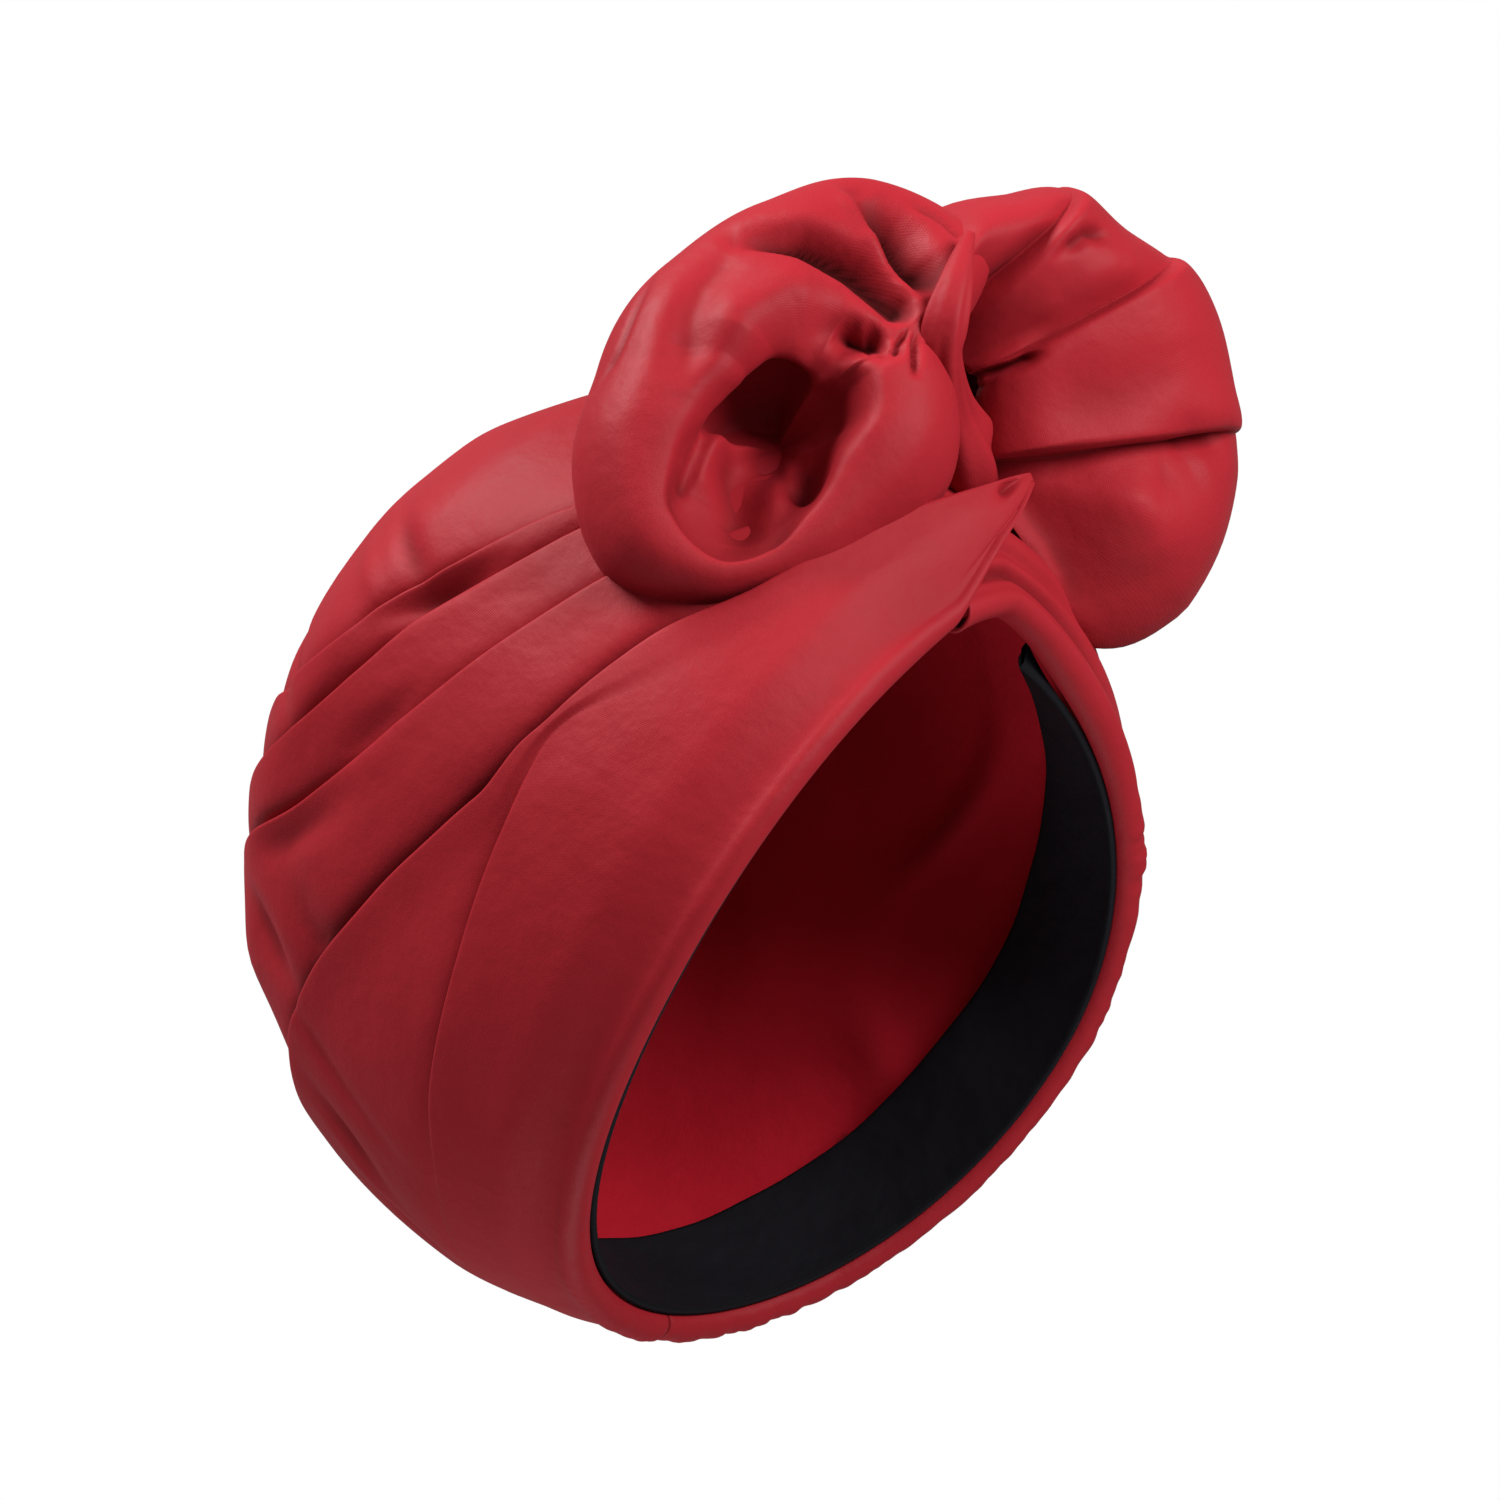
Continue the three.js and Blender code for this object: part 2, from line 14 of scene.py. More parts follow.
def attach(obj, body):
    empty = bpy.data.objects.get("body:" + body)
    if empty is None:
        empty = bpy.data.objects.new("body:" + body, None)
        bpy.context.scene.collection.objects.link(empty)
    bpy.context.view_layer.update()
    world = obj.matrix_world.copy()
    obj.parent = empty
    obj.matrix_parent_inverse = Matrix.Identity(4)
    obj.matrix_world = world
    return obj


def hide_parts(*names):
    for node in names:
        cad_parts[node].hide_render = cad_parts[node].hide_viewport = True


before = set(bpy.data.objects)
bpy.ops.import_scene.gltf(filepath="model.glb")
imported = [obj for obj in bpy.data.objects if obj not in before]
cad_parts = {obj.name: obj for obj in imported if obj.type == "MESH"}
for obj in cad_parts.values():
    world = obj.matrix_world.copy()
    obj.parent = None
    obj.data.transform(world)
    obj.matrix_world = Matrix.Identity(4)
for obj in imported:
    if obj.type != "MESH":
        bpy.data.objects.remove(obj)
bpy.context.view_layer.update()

# %% [markdown]
# ## Sizes
# The cap is described round the head: an angle from the forehead and a share of the height. The
# wearer's right has negative angles. All lengths are in millimetres until a mesh is made.

# %% Sizes of the cap
MM = 0.001  # metres in a millimetre
BACK_LENGTH = 132
FRONT_LENGTH = 110
HALF_WIDTH = 98.5
CROWN_HEIGHT = 198
PEAK_HEIGHT = 33
PEAK_SPREAD = 54
RIM_WAVE = 4.5
RIM_HALF_WIDTH = 75
RIM_BACK_LENGTH = 97
RIM_FRONT_LENGTH = 85
CLOTH = 1.1
WALL = 1.6
GAP = 0.4
BAND_WALL = 2.0
HEM_DEPTH = 4.5
INNER_BAND_HEIGHT = 36
INNER_BAND_FLARE = 4
INNER_BAND_FRONT_GAP = 11
LINING_DROP = 9
print("cap:", 2 * HALF_WIDTH, "mm wide,", BACK_LENGTH + FRONT_LENGTH, "mm long,", CROWN_HEIGHT, "mm tall")

# %% [markdown]
# ## Two short tables
# The first says how far the cap reaches at each share of its height. The second says where the
# creases run: for each angle from the forehead, the share of the height of each crease.

# %% Sections and creases
CAP_SECTIONS = [
    {"up": 0.00, "back": 0.820, "side": 0.853, "front": 0.890},
    {"up": 0.10, "back": 0.880, "side": 0.944, "front": 0.964},
    {"up": 0.25, "back": 0.962, "side": 0.990, "front": 1.000},
    {"up": 0.45, "back": 1.000, "side": 1.000, "front": 1.000},
    {"up": 0.65, "back": 0.902, "side": 0.985, "front": 0.918},
    {"up": 0.82, "back": 0.735, "side": 0.792, "front": 0.718},
    {"up": 0.94, "back": 0.470, "side": 0.437, "front": 0.473},
    {"up": 1.00, "back": 0.000, "side": 0.000, "front": 0.000},
]

CREASES = [
    {"at": 0, "band": 0.105, "low": 0.19, "middle": 0.27, "high": 0.33, "fold": 0.06},
    {"at": 25, "band": 0.150, "low": 0.24, "middle": 0.33, "high": 0.38, "fold": 0.09},
    {"at": 45, "band": 0.190, "low": 0.31, "middle": 0.41, "high": 0.45, "fold": 0.13},
    {"at": 60, "band": 0.252, "low": 0.378, "middle": 0.475, "high": 0.531, "fold": 0.18},
    {"at": 78, "band": 0.296, "low": 0.450, "middle": 0.567, "high": 0.630, "fold": 0.272},
    {"at": 90, "band": 0.333, "low": 0.503, "middle": 0.608, "high": 0.680, "fold": 0.262},
    {"at": 106, "band": 0.400, "low": 0.591, "middle": 0.694, "high": 0.793, "fold": 0.234},
    {"at": 122, "band": 0.473, "low": 0.710, "middle": 0.785, "high": 0.860, "fold": 0.214},
    {"at": 136, "band": 0.512, "low": 0.755, "middle": 0.825, "high": 0.890, "fold": 0.189},
    {"at": 180, "band": 0.545, "low": 0.790, "middle": 0.860, "high": 0.915, "fold": 0.175},
]
print("sections:", len(CAP_SECTIONS), "crease rows:", len(CREASES))

# %% [markdown]
# ## A smooth curve through a short table
# A column of a table becomes a curve that never overshoots its rows, so a few sections are enough
# to describe a whole form.

# %% Curve through a table
def column(table, key, name):
    rows = sorted(table, key=lambda row: row[key])
    places = np.array([row[key] for row in rows], float)
    values = np.array([row[name] for row in rows], float)
    steps = np.diff(values) / np.diff(places)
    slopes = np.zeros(len(places))
    before, after = steps[:-1], steps[1:]
    same_way = before * after > 0
    slopes[1:-1][same_way] = (2 * before * after)[same_way] / (before + after)[same_way]

    def value(place):
        place = np.asarray(place, float)
        i = np.clip(np.searchsorted(places, place, side="right") - 1, 0, len(places) - 2)
        span = places[i + 1] - places[i]
        f = np.clip((place - places[i]) / span, 0, 1)
        return ((2 * f**3 - 3 * f**2 + 1) * values[i] + (f**3 - 2 * f**2 + f) * span * slopes[i]
                + (3 * f**2 - 2 * f**3) * values[i + 1] + (f**3 - f**2) * span * slopes[i + 1])

    return value


def smoothstep(low, high, value):
    f = np.clip((np.asarray(value, float) - low) / (high - low), 0, 1)
    return f * f * (3 - 2 * f)


back_share = column(CAP_SECTIONS, "up", "back")
side_share = column(CAP_SECTIONS, "up", "side")
front_share = column(CAP_SECTIONS, "up", "front")
crease = {name: column(CREASES, "at", name) for name in ("band", "low", "middle", "high", "fold")}
print("band's upper edge over the ear:", round(float(crease["band"](90)) * CROWN_HEIGHT), "mm up")

# %% [markdown]
# ## The form under the folds
# A smooth cap comes first: a point on it, and the direction that faces out of it. Folds are then
# heights above or below this form, as a tailor would build them over a block.

# %% The cap's form
def rim_height(angle):
    rise = np.exp(-((np.abs(angle) / math.radians(PEAK_SPREAD)) ** 1.3))
    return PEAK_HEIGHT * rise + RIM_WAVE * np.cos(2 * angle)


def cap_point(angle, up):
    angle, up = np.broadcast_arrays(angle, up)
    length = np.where(np.cos(angle) > 0, FRONT_LENGTH * front_share(up), BACK_LENGTH * back_share(up))
    height = rim_height(angle) * (1 - up) ** 1.5 + up * CROWN_HEIGHT
    return np.stack([HALF_WIDTH * side_share(up) * np.sin(angle), -length * np.cos(angle), height], -1)


def unit(vector):
    return vector / np.maximum(np.linalg.norm(vector, axis=-1, keepdims=True), 1e-9)


def cap_normal(angle, up):
    step = 0.01
    at = np.clip(up, 0.02, 0.97)
    across = cap_point(angle + step, at) - cap_point(angle - step, at)
    along = cap_point(angle, at + step) - cap_point(angle, at - step)
    return unit(np.cross(across, along))


def off_cap(angle, up, offset):
    normal = cap_normal(angle, up)
    top = smoothstep(0.93, 1, up)[..., None]
    normal = unit(normal * (1 - top) + np.array([0, 0, 1.0]) * top)
    return cap_point(angle, up) + normal * np.asarray(offset)[..., None]


print("forehead at half height:", off_cap(0.0, 0.5, 0.0).round(1), "mm")

# %% [markdown]
# ## Small unevenness
# Real cloth is never exact. A sum of a few waves at odd angles gives a soft, repeatable unevenness
# with no random numbers, so the lesson gives the same cap each time.

# %% Soft unevenness
def uneven(a, b, seed=0.0):
    total = 0
    for k in range(5):
        turn = 2.399 * (k + 1) + seed
        size = 1.0 + 0.47 * k
        total = total + np.sin(size * (a * math.cos(turn) + b * math.sin(turn)) + 1.7 * k + 3.1 * seed) / size
    return total / 2.0


def dent(angle, up, at, share, wide, tall, turn=0.0):
    """A soft round hollow on the cap: its place in degrees and share, its size in millimetres."""
    x = (np.degrees(np.abs(angle)) - at) * 1.75
    y = (up - share) * CROWN_HEIGHT
    c, s = math.cos(math.radians(turn)), math.sin(math.radians(turn))
    return np.exp(-((x * c + y * s) / wide) ** 2 - ((y * c - x * s) / tall) ** 2)


def bunched(count):
    """Rows from 0 to 1 that crowd together at both ends, where a fold is sharp."""
    even = np.linspace(0, 1, count)
    return even - 0.9 * np.sin(2 * np.pi * even) / (2 * np.pi)


print("ten bunched rows:", bunched(10).round(2))

# %% [markdown]
# ## From a grid of points to a piece of cloth
# Every sheet is a grid of points, with its own UV map in metres so that the weave follows the
# cloth. Solidify then gives it a thickness, inwards, so the outside stays where the form puts it.
# Each point also stores how deep it lies in a fold, found by blurring the grid and looking how far
# the blurred cloth stands above it. The materials use it to paint shade: the colour is darkened deep in the
# folds.

# %% Depth in the folds
HOLLOW_BLURS = {10: 1.3, 120: 6.0}


def hollowness(grid, closed, flip):
    """How far each point lies below the cloth around it, from 0 on a rise to 1 deep in a fold."""
    normal = unit(np.cross(np.gradient(grid, axis=0), np.gradient(grid, axis=1)))
    if flip:
        normal = -normal
    smooth = grid.copy()
    found = 0
    for step in range(1, max(HOLLOW_BLURS) + 1):
        before = np.roll(smooth, 1, 0)
        after = np.roll(smooth, -1, 0)
        if not closed:
            before[0] = smooth[0]
            after[-1] = smooth[-1]
        smooth = 0.5 * smooth + 0.25 * (before + after)
        middle = 0.5 * smooth[:, 1:-1] + 0.25 * (smooth[:, :-2] + smooth[:, 2:])
        smooth = np.concatenate([smooth[:, :1], middle, smooth[:, -1:]], 1)
        if step in HOLLOW_BLURS:
            below = ((smooth - grid) * normal).sum(-1)
            found = found + np.clip(below / HOLLOW_BLURS[step], 0, 1) * 0.6
    return np.clip(found, 0, 1)


print("fine folds over", HOLLOW_BLURS[10], "mm and broad ones over", HOLLOW_BLURS[120], "mm count as deep")

# %% [markdown]
# ## The mesh of a sheet
# from_pydata takes points and faces, and both are made here from the grid. The last step could be
# Bevel or Subdivision Surface, but the grid is fine enough, so only Solidify is applied.

# %% Grid to cloth
def cloth_piece(name, grid, closed=False, flip=False, thickness=CLOTH, material=None):
    rows, cols = grid.shape[:2]
    across = np.linalg.norm(np.diff(grid, axis=0), axis=-1).mean() * MM
    along = np.concatenate([[0], np.cumsum(np.linalg.norm(np.diff(grid, axis=1), axis=-1).mean(0))]) * MM
    faces = []
    corners = []
    for i in range(rows if closed else rows - 1):
        after = (i + 1) % rows
        for j in range(cols - 1):
            face = [i * cols + j, after * cols + j, after * cols + j + 1, i * cols + j + 1]
            place = [(i, j), (i + 1, j), (i + 1, j + 1), (i, j + 1)]
            if flip:
                face.reverse()
                place.reverse()
            faces.append(face)
            corners.append(place)
    mesh = bpy.data.meshes.new(name)
    mesh.from_pydata((grid.reshape(-1, 3) * MM).tolist(), [], faces)
    layer = mesh.uv_layers.new(name="cloth")
    uv = np.array([[(a * across, along[b]) for a, b in place] for place in corners], "f")
    layer.data.foreach_set("uv", uv.reshape(-1))
    mesh.polygons.foreach_set("use_smooth", [True] * len(faces))
    # The hollow attribute is the mask for the painted shade in the folds.
    deep = mesh.attributes.new("hollow", "FLOAT", "POINT")
    deep.data.foreach_set("value", hollowness(grid, closed, flip).reshape(-1).astype("f"))
    piece = bpy.data.objects.new(name, mesh)
    bpy.context.collection.objects.link(piece)
    bpy.ops.object.select_all(action="DESELECT")
    piece.select_set(True)
    bpy.context.view_layer.objects.active = piece
    bpy.ops.object.mode_set(mode="EDIT")
    bpy.ops.mesh.select_all(action="SELECT")
    bpy.ops.mesh.remove_doubles(threshold=1e-6)
    bpy.ops.object.mode_set(mode="OBJECT")
    if thickness:
        wall = piece.modifiers.new("wall", "SOLIDIFY")
        wall.thickness = thickness * MM
        wall.offset = -1
        bpy.ops.object.modifier_apply(modifier=wall.name)
    if material:
        piece.data.materials.append(material)
    size = [round(v * 1000) for v in piece.dimensions]
    print(name, "mm:", size, "faces:", len(piece.data.polygons))
    return piece

# %% [markdown]
# ## Weave
# One shader group serves every cloth: two crossed sets of threads with a little noise, as a height
# for bump and a mask for colour. Its scale and strength are named inputs.

# %% Weave group
def weave_group():
    group = bpy.data.node_groups.new("weave", "ShaderNodeTree")
    group.interface.new_socket("Thread Size", in_out="INPUT", socket_type="NodeSocketFloat")
    group.interface.new_socket("Slub", in_out="INPUT", socket_type="NodeSocketFloat")
    group.interface.new_socket("Crumple", in_out="INPUT", socket_type="NodeSocketFloat")
    group.interface.new_socket("Height", in_out="OUTPUT", socket_type="NodeSocketFloat")
    group.interface.new_socket("Mottle", in_out="OUTPUT", socket_type="NodeSocketFloat")
    nodes, links = group.nodes, group.links
    start = nodes.new("NodeGroupInput")
    end = nodes.new("NodeGroupOutput")
    uv = nodes.new("ShaderNodeUVMap")
    uv.uv_map = "cloth"
    spacing = nodes.new("ShaderNodeMath")
    spacing.operation = "DIVIDE"
    spacing.inputs[0].default_value = 1.0
    links.new(start.outputs["Thread Size"], spacing.inputs[1])
    scaled = nodes.new("ShaderNodeVectorMath")
    scaled.operation = "SCALE"
    links.new(uv.outputs["UV"], scaled.inputs[0])
    links.new(spacing.outputs[0], scaled.inputs["Scale"])
    waves = []
    for direction in ("X", "Y"):
        wave = nodes.new("ShaderNodeTexWave")
        wave.bands_direction = direction
        wave.inputs["Scale"].default_value = 0.32
        wave.inputs["Distortion"].default_value = 1.2
        wave.inputs["Detail"].default_value = 1.0
        links.new(scaled.outputs[0], wave.inputs["Vector"])
        waves.append(wave)
    crossed = nodes.new("ShaderNodeMath")
    crossed.operation = "MULTIPLY"
    links.new(waves[0].outputs["Fac"], crossed.inputs[0])
    links.new(waves[1].outputs["Fac"], crossed.inputs[1])
    stretch = nodes.new("ShaderNodeMapping")
    stretch.inputs["Scale"].default_value = (1.0, 0.12, 1.0)
    links.new(scaled.outputs[0], stretch.inputs["Vector"])
    slub = nodes.new("ShaderNodeTexNoise")
    slub.inputs["Scale"].default_value = 0.25
    slub.inputs["Detail"].default_value = 3.0
    links.new(stretch.outputs[0], slub.inputs["Vector"])
    lift = nodes.new("ShaderNodeMath")
    lift.operation = "MULTIPLY_ADD"
    links.new(slub.outputs["Fac"], lift.inputs[0])
    links.new(start.outputs["Slub"], lift.inputs[1])
    links.new(crossed.outputs[0], lift.inputs[2])
    place = nodes.new("ShaderNodeTexCoord")
    crumple = nodes.new("ShaderNodeTexNoise")
    crumple.inputs["Scale"].default_value = 75.0
    crumple.inputs["Detail"].default_value = 5.0
    links.new(place.outputs["Object"], crumple.inputs["Vector"])
    soften = nodes.new("ShaderNodeMath")
    soften.operation = "MULTIPLY_ADD"
    links.new(crumple.outputs["Fac"], soften.inputs[0])
    links.new(start.outputs["Crumple"], soften.inputs[1])
    links.new(lift.outputs[0], soften.inputs[2])
    links.new(soften.outputs[0], end.inputs["Height"])
    mottle = nodes.new("ShaderNodeTexNoise")
    mottle.inputs["Scale"].default_value = 22.0
    mottle.inputs["Detail"].default_value = 4.0
    links.new(place.outputs["Object"], mottle.inputs["Vector"])
    links.new(mottle.outputs["Fac"], end.inputs["Mottle"])
    return group


WEAVE = weave_group()
print("weave group:", len(WEAVE.nodes), "nodes")

# %% [markdown]
# ## Cloth materials
# Satin is a smooth weave: a strong, broad highlight over a deep colour. The mottle changes colour
# and roughness a little from place to place, which keeps a large red panel from looking like paint.
# The hollow attribute adds painted shade, darkening the colour deep in the folds, and makes them rougher.

# %% Cloth materials
CRUMPLE = 30.0
BUMP_DEPTH = 0.1 * MM
GLOSS = 0.09


def cloth_material(name, deep, light, roughness, sheen, thread, slub, relief):
    material = bpy.data.materials.new(name)
    material.use_nodes = True
    nodes, links = material.node_tree.nodes, material.node_tree.links
    shader = nodes["Principled BSDF"]
    weave = nodes.new("ShaderNodeGroup")
    weave.node_tree = WEAVE
    weave.inputs["Thread Size"].default_value = thread * MM
    weave.inputs["Slub"].default_value = slub
    weave.inputs["Crumple"].default_value = CRUMPLE
    colour = nodes.new("ShaderNodeMix")
    colour.data_type = "RGBA"
    colour.inputs["A"].default_value = (*deep, 1)
    colour.inputs["B"].default_value = (*light, 1)
    links.new(weave.outputs["Mottle"], colour.inputs["Factor"])
    # Painted shade: deep in a fold the colour is mixed toward a near-black red.
    hollow = nodes.new("ShaderNodeAttribute")
    hollow.attribute_name = "hollow"
    shade = nodes.new("ShaderNodeMix")
    shade.data_type = "RGBA"
    shade.inputs["B"].default_value = (0.14 * deep[0], 0.05 * deep[1], 0.05 * deep[2], 1)
    links.new(hollow.outputs["Fac"], shade.inputs["Factor"])
    links.new(colour.outputs["Result"], shade.inputs["A"])
    links.new(shade.outputs["Result"], shader.inputs["Base Color"])
    dull = nodes.new("ShaderNodeMath")
    dull.operation = "MULTIPLY_ADD"
    dull.inputs[1].default_value = 0.4
    rough = nodes.new("ShaderNodeMapRange")
    rough.inputs["From Min"].default_value = 0.3
    rough.inputs["From Max"].default_value = 0.7
    rough.inputs["To Min"].default_value = roughness - 0.04
    rough.inputs["To Max"].default_value = roughness + 0.04
    links.new(weave.outputs["Mottle"], rough.inputs["Value"])
    links.new(hollow.outputs["Fac"], dull.inputs[0])
    links.new(rough.outputs["Result"], dull.inputs[2])
    links.new(dull.outputs[0], shader.inputs["Roughness"])
    shader.inputs["Specular IOR Level"].default_value = GLOSS
    shader.inputs["Sheen Weight"].default_value = sheen
    shader.inputs["Sheen Roughness"].default_value = 0.4
    shader.inputs["Sheen Tint"].default_value = (min(1, 2 * light[0]), 5 * light[1], 5 * light[2], 1)
    bump = nodes.new("ShaderNodeBump")
    bump.inputs["Strength"].default_value = relief
    bump.inputs["Distance"].default_value = BUMP_DEPTH
    links.new(weave.outputs["Height"], bump.inputs["Height"])
    links.new(bump.outputs["Normal"], shader.inputs["Normal"])
    return material


satin = cloth_material("satin", deep=(0.245, 0.0095, 0.0155), light=(0.31, 0.0135, 0.0205),
                       roughness=0.50, sheen=0.10, thread=0.4, slub=0.6, relief=0.30)
# The lining's colour is lighter than the outer satin's: painted light, for the bright lit inside of the cap.
lining_satin = cloth_material("lining_satin", deep=(0.36, 0.010, 0.020), light=(0.46, 0.014, 0.026),
                              roughness=0.34, sheen=0.05, thread=0.4, slub=0.8, relief=0.35)
velvet = cloth_material("black_velvet", deep=(0.004, 0.004, 0.006), light=(0.009, 0.009, 0.012),
                        roughness=0.62, sheen=0.12, thread=0.6, slub=0.4, relief=0.5)
print("cloths:", satin.name, lining_satin.name, velvet.name)

# %% [markdown]
# ## The pleated crown
# The crown's pleats lie like tiles: each layer nearer the rim lies on the one above it. The rows of
# the grid follow the creases, crowding at each edge, so a sharp lip and a deep crease need few rows.

# %% Pleats
def pleat_fade(angle, start, full, fading, gone):
    away = np.degrees(np.abs(angle))
    return smoothstep(start, full, away) * (1 - smoothstep(fading, gone, away))


def tile_profile(low, high, share, deep_low, deep_high, proud, lip=1.3):
    """Height of one pleat from the crease below it to the crease above it."""
    rise = share * (high - low) * CROWN_HEIGHT
    left = (1 - share) * (high - low) * CROWN_HEIGHT
    valley = -deep_low * (0.6 * np.exp(-rise / 2.2) + 0.4 * np.exp(-rise / 9.0))
    ridge = proud * np.exp(-(left / 8.0) ** 2) * smoothstep(0, 0.5, share)
    height = valley + ridge
    near = np.clip(1 - left / lip, 0, 1)
    drop = 1 - np.sqrt(np.maximum(1 - near**2, 0))
    return height * (1 - drop) - deep_high * drop


print("a 3 mm pleat:", tile_profile(0.3, 0.5, np.linspace(0, 1, 6), 3, 3, 1).round(1), "mm")

# %% [markdown]
# ## The crown's grid
# The grid is built in strips, one between each pair of creases, and small dents are pressed in last.

# %% Crown
AROUND = 340
PLEAT_ROWS = {"under": 8, "first": 30, "second": 26, "third": 20, "top": 44}


def crown_grid():
    angle = (np.arange(AROUND) * 2 * np.pi / AROUND - np.pi)[:, None]
    away = np.degrees(np.abs(angle))
    wobble = 0.0035 * uneven(angle * 7, 0 * angle, 0.4)
    lines = {name: crease[name](away) + wobble for name in ("band", "low", "middle", "high")}
    fade = pleat_fade(angle, 18, 45, 128, 170)
    long_fade = pleat_fade(angle, 18, 45, 150, 180)
    depth = {
        "band": 3.4 + 3.2 * fade,
        "low": (1.2 + 2.6 * smoothstep(70, 120, away)) * fade,
        "middle": (3.2 + 3.0 * smoothstep(55, 75, away)) * fade,
        "high": (1.2 + 2.0 * smoothstep(60, 75, away)) * fade,
    }
    proud = {"low": 0.5 * fade, "middle": 0.9 * fade, "high": 0.6 * fade}
    ups = []
    offsets = []

    def segment(low, high, rows, deep_low, deep_high, lift):
        share = bunched(rows)[None, :-1]
        ups.append(low + (high - low) * share)
        offsets.append(tile_profile(low, high, share, deep_low, deep_high, lift))

    foot = 0.03 * lines["band"]
    under = np.linspace(0, 1, PLEAT_ROWS["under"])[None, :-1]
    ups.append(foot + (lines["band"] - foot) * under)
    offsets.append(-depth["band"] + 0 * ups[0])
    strips = (("band", "low", "first"), ("low", "middle", "second"), ("middle", "high", "third"))
    for below, above, rows in strips:
        segment(lines[below], lines[above], PLEAT_ROWS[rows], depth[below], depth[above], proud[above])
    share = np.concatenate([bunched(2 * PLEAT_ROWS["top"])[:PLEAT_ROWS["top"]],
                            np.linspace(0.5, 1, 18)[1:]])[None, :]
    ups.append(lines["high"] + (1 - lines["high"]) * share)
    rise = share * (1 - lines["high"]) * CROWN_HEIGHT
    offsets.append(-depth["high"] * (0.4 * np.exp(-rise / 2.5) + 0.6 * np.exp(-rise / 12.0)))
    up = np.clip(np.concatenate(ups, 1), 0, 1)
    offset = np.concatenate(offsets, 1)
    angles = angle + 0 * up
    right = np.where(angle < 0, 1.0, 0.7)
    open_part = smoothstep(0, 0.03, up - lines["band"]) * (1 - smoothstep(0.93, 1, up)) * long_fade
    offset += open_part * right * (
        -2.0 * dent(angles, up, 71, 0.672, 3.5, 13, 20) + 0.9 * dent(angles, up, 78, 0.70, 3.5, 14, 20)
        - 1.8 * dent(angles, up, 99, 0.768, 4, 13, 20) - 4.6 * dent(angles, up, 73, 0.568, 14, 4, 35)
        - 2.0 * dent(angles, up, 92, 0.53, 14, 4, 30) - 2.4 * dent(angles, up, 110, 0.585, 18, 4.5, 42)
        - 3.0 * dent(angles, up, 128, 0.60, 6, 16, 0) - 2.6 * dent(angles, up, 118, 0.50, 8, 20, 15)
        + 2.0 * dent(angles, up, 138, 0.66, 10, 12, 0))
    offset += open_part * 0.7 * uneven(angles * 6, up * 9, 0.3)
    return off_cap(angles, up, offset)


crown = cloth_piece("crown_cloth", crown_grid(), closed=True, material=satin)

# %% [markdown]
# ## The lining
# A thin cap hangs inside, stitched only at the rim, so it is loose and a little baggy.

# %% Lining
LINING_AROUND = 300
LINING_ROWS = 110
LINING_CLOTH = 0.7


def lining_grid():
    angle = (np.arange(LINING_AROUND) * 2 * np.pi / LINING_AROUND - np.pi)[:, None]
    up = np.linspace(0.014, 1, LINING_ROWS)[None, :]
    hemmed = 2 * WALL + 2 * GAP + 1.4
    inset = hemmed + (LINING_DROP - hemmed) * smoothstep(0, 0.3, up)
    loose = smoothstep(0.02, 0.2, up) * (1 - smoothstep(0.85, 1, up))
    folds = 0.6 - 3.0 * np.exp(-(uneven(angle * 2.6 + up * 3, up * 5 - angle, 1.3) / 0.24) ** 2)
    folds = folds + 0.8 * uneven(angle * 7, up * 9, 2.1)
    return off_cap(angle + 0 * up, up + 0 * angle, -inset + loose * folds)


lining = cloth_piece("lining_cloth", lining_grid(), closed=True,
                     thickness=LINING_CLOTH, material=lining_satin)

# %% [markdown]
# ## The comfort band
# A doubled strip of black velvet stands inside the rim and stops short of the forehead.

# %% Comfort band
def rim_oval(angle, inset):
    length = np.where(np.cos(angle) > 0, RIM_FRONT_LENGTH, RIM_BACK_LENGTH)
    return np.stack([(RIM_HALF_WIDTH + inset) * np.sin(angle), -(length + inset) * np.cos(angle),
                     rim_height(angle) + 0 * inset], -1)


def inner_band_grid():
    start = math.radians(INNER_BAND_FRONT_GAP)
    along = np.linspace(start, 2 * np.pi - start, 360)[:, None]
    angle = np.where(along > np.pi, along - 2 * np.pi, along)
    turn = np.linspace(0, 2 * np.pi, 33)[None, :-1]
    share = 0.5 - 0.5 * np.cos(turn)
    thick = 0.5 * BAND_WALL * np.sign(np.sin(turn)) * np.minimum(1, 6 * np.abs(np.sin(turn))) ** 0.5
    ripple = 0.7 * share * uneven(angle * 9, share * 2, 0.9)
    inset = 0.5 * BAND_WALL + share * INNER_BAND_FLARE + ripple - thick
    around = np.degrees(along)
    ends = np.minimum(around - INNER_BAND_FRONT_GAP, 360 - INNER_BAND_FRONT_GAP - around)
    tall = np.where(angle < 0, smoothstep(18, 62, ends), smoothstep(-6, 20, ends))
    tucked = np.where(angle < 0, 4.5 * (1 - smoothstep(18, 40, ends)), 0)
    grid = rim_oval(angle + 0 * turn, inset + tucked)
    grid[..., 2] += tall * share * INNER_BAND_HEIGHT * (1 - 0.3 * rim_height(angle) / PEAK_HEIGHT)
    return np.concatenate([grid, grid[:, :1]], 1)


inner_band = cloth_piece("inner_band_cloth", inner_band_grid(), thickness=None, material=velvet)

# %% [markdown]
# ## The wrap bands
# Each broad band starts in the knot, lies low on the forehead, and widens to the back seam. Its
# lower edge is rolled under and gathered, which gives the small puckers along the hem.

# %% Wrap bands
RIGHT_BAND_END = 2
LEFT_BAND_END = -14
RIGHT_BAND_LIFT = 22
LEFT_BAND_LIFT = 4
BAND_LIFT_SPREAD = 13
RIGHT_TIP_RISE = 13
BAND_PLEAT_DEPTH = 1.4
TIP_TAPER = 17
TIP_DRAWN = 0.86
STREAK_DEPTH = 2.8
CURL_DEPTH = 6.0


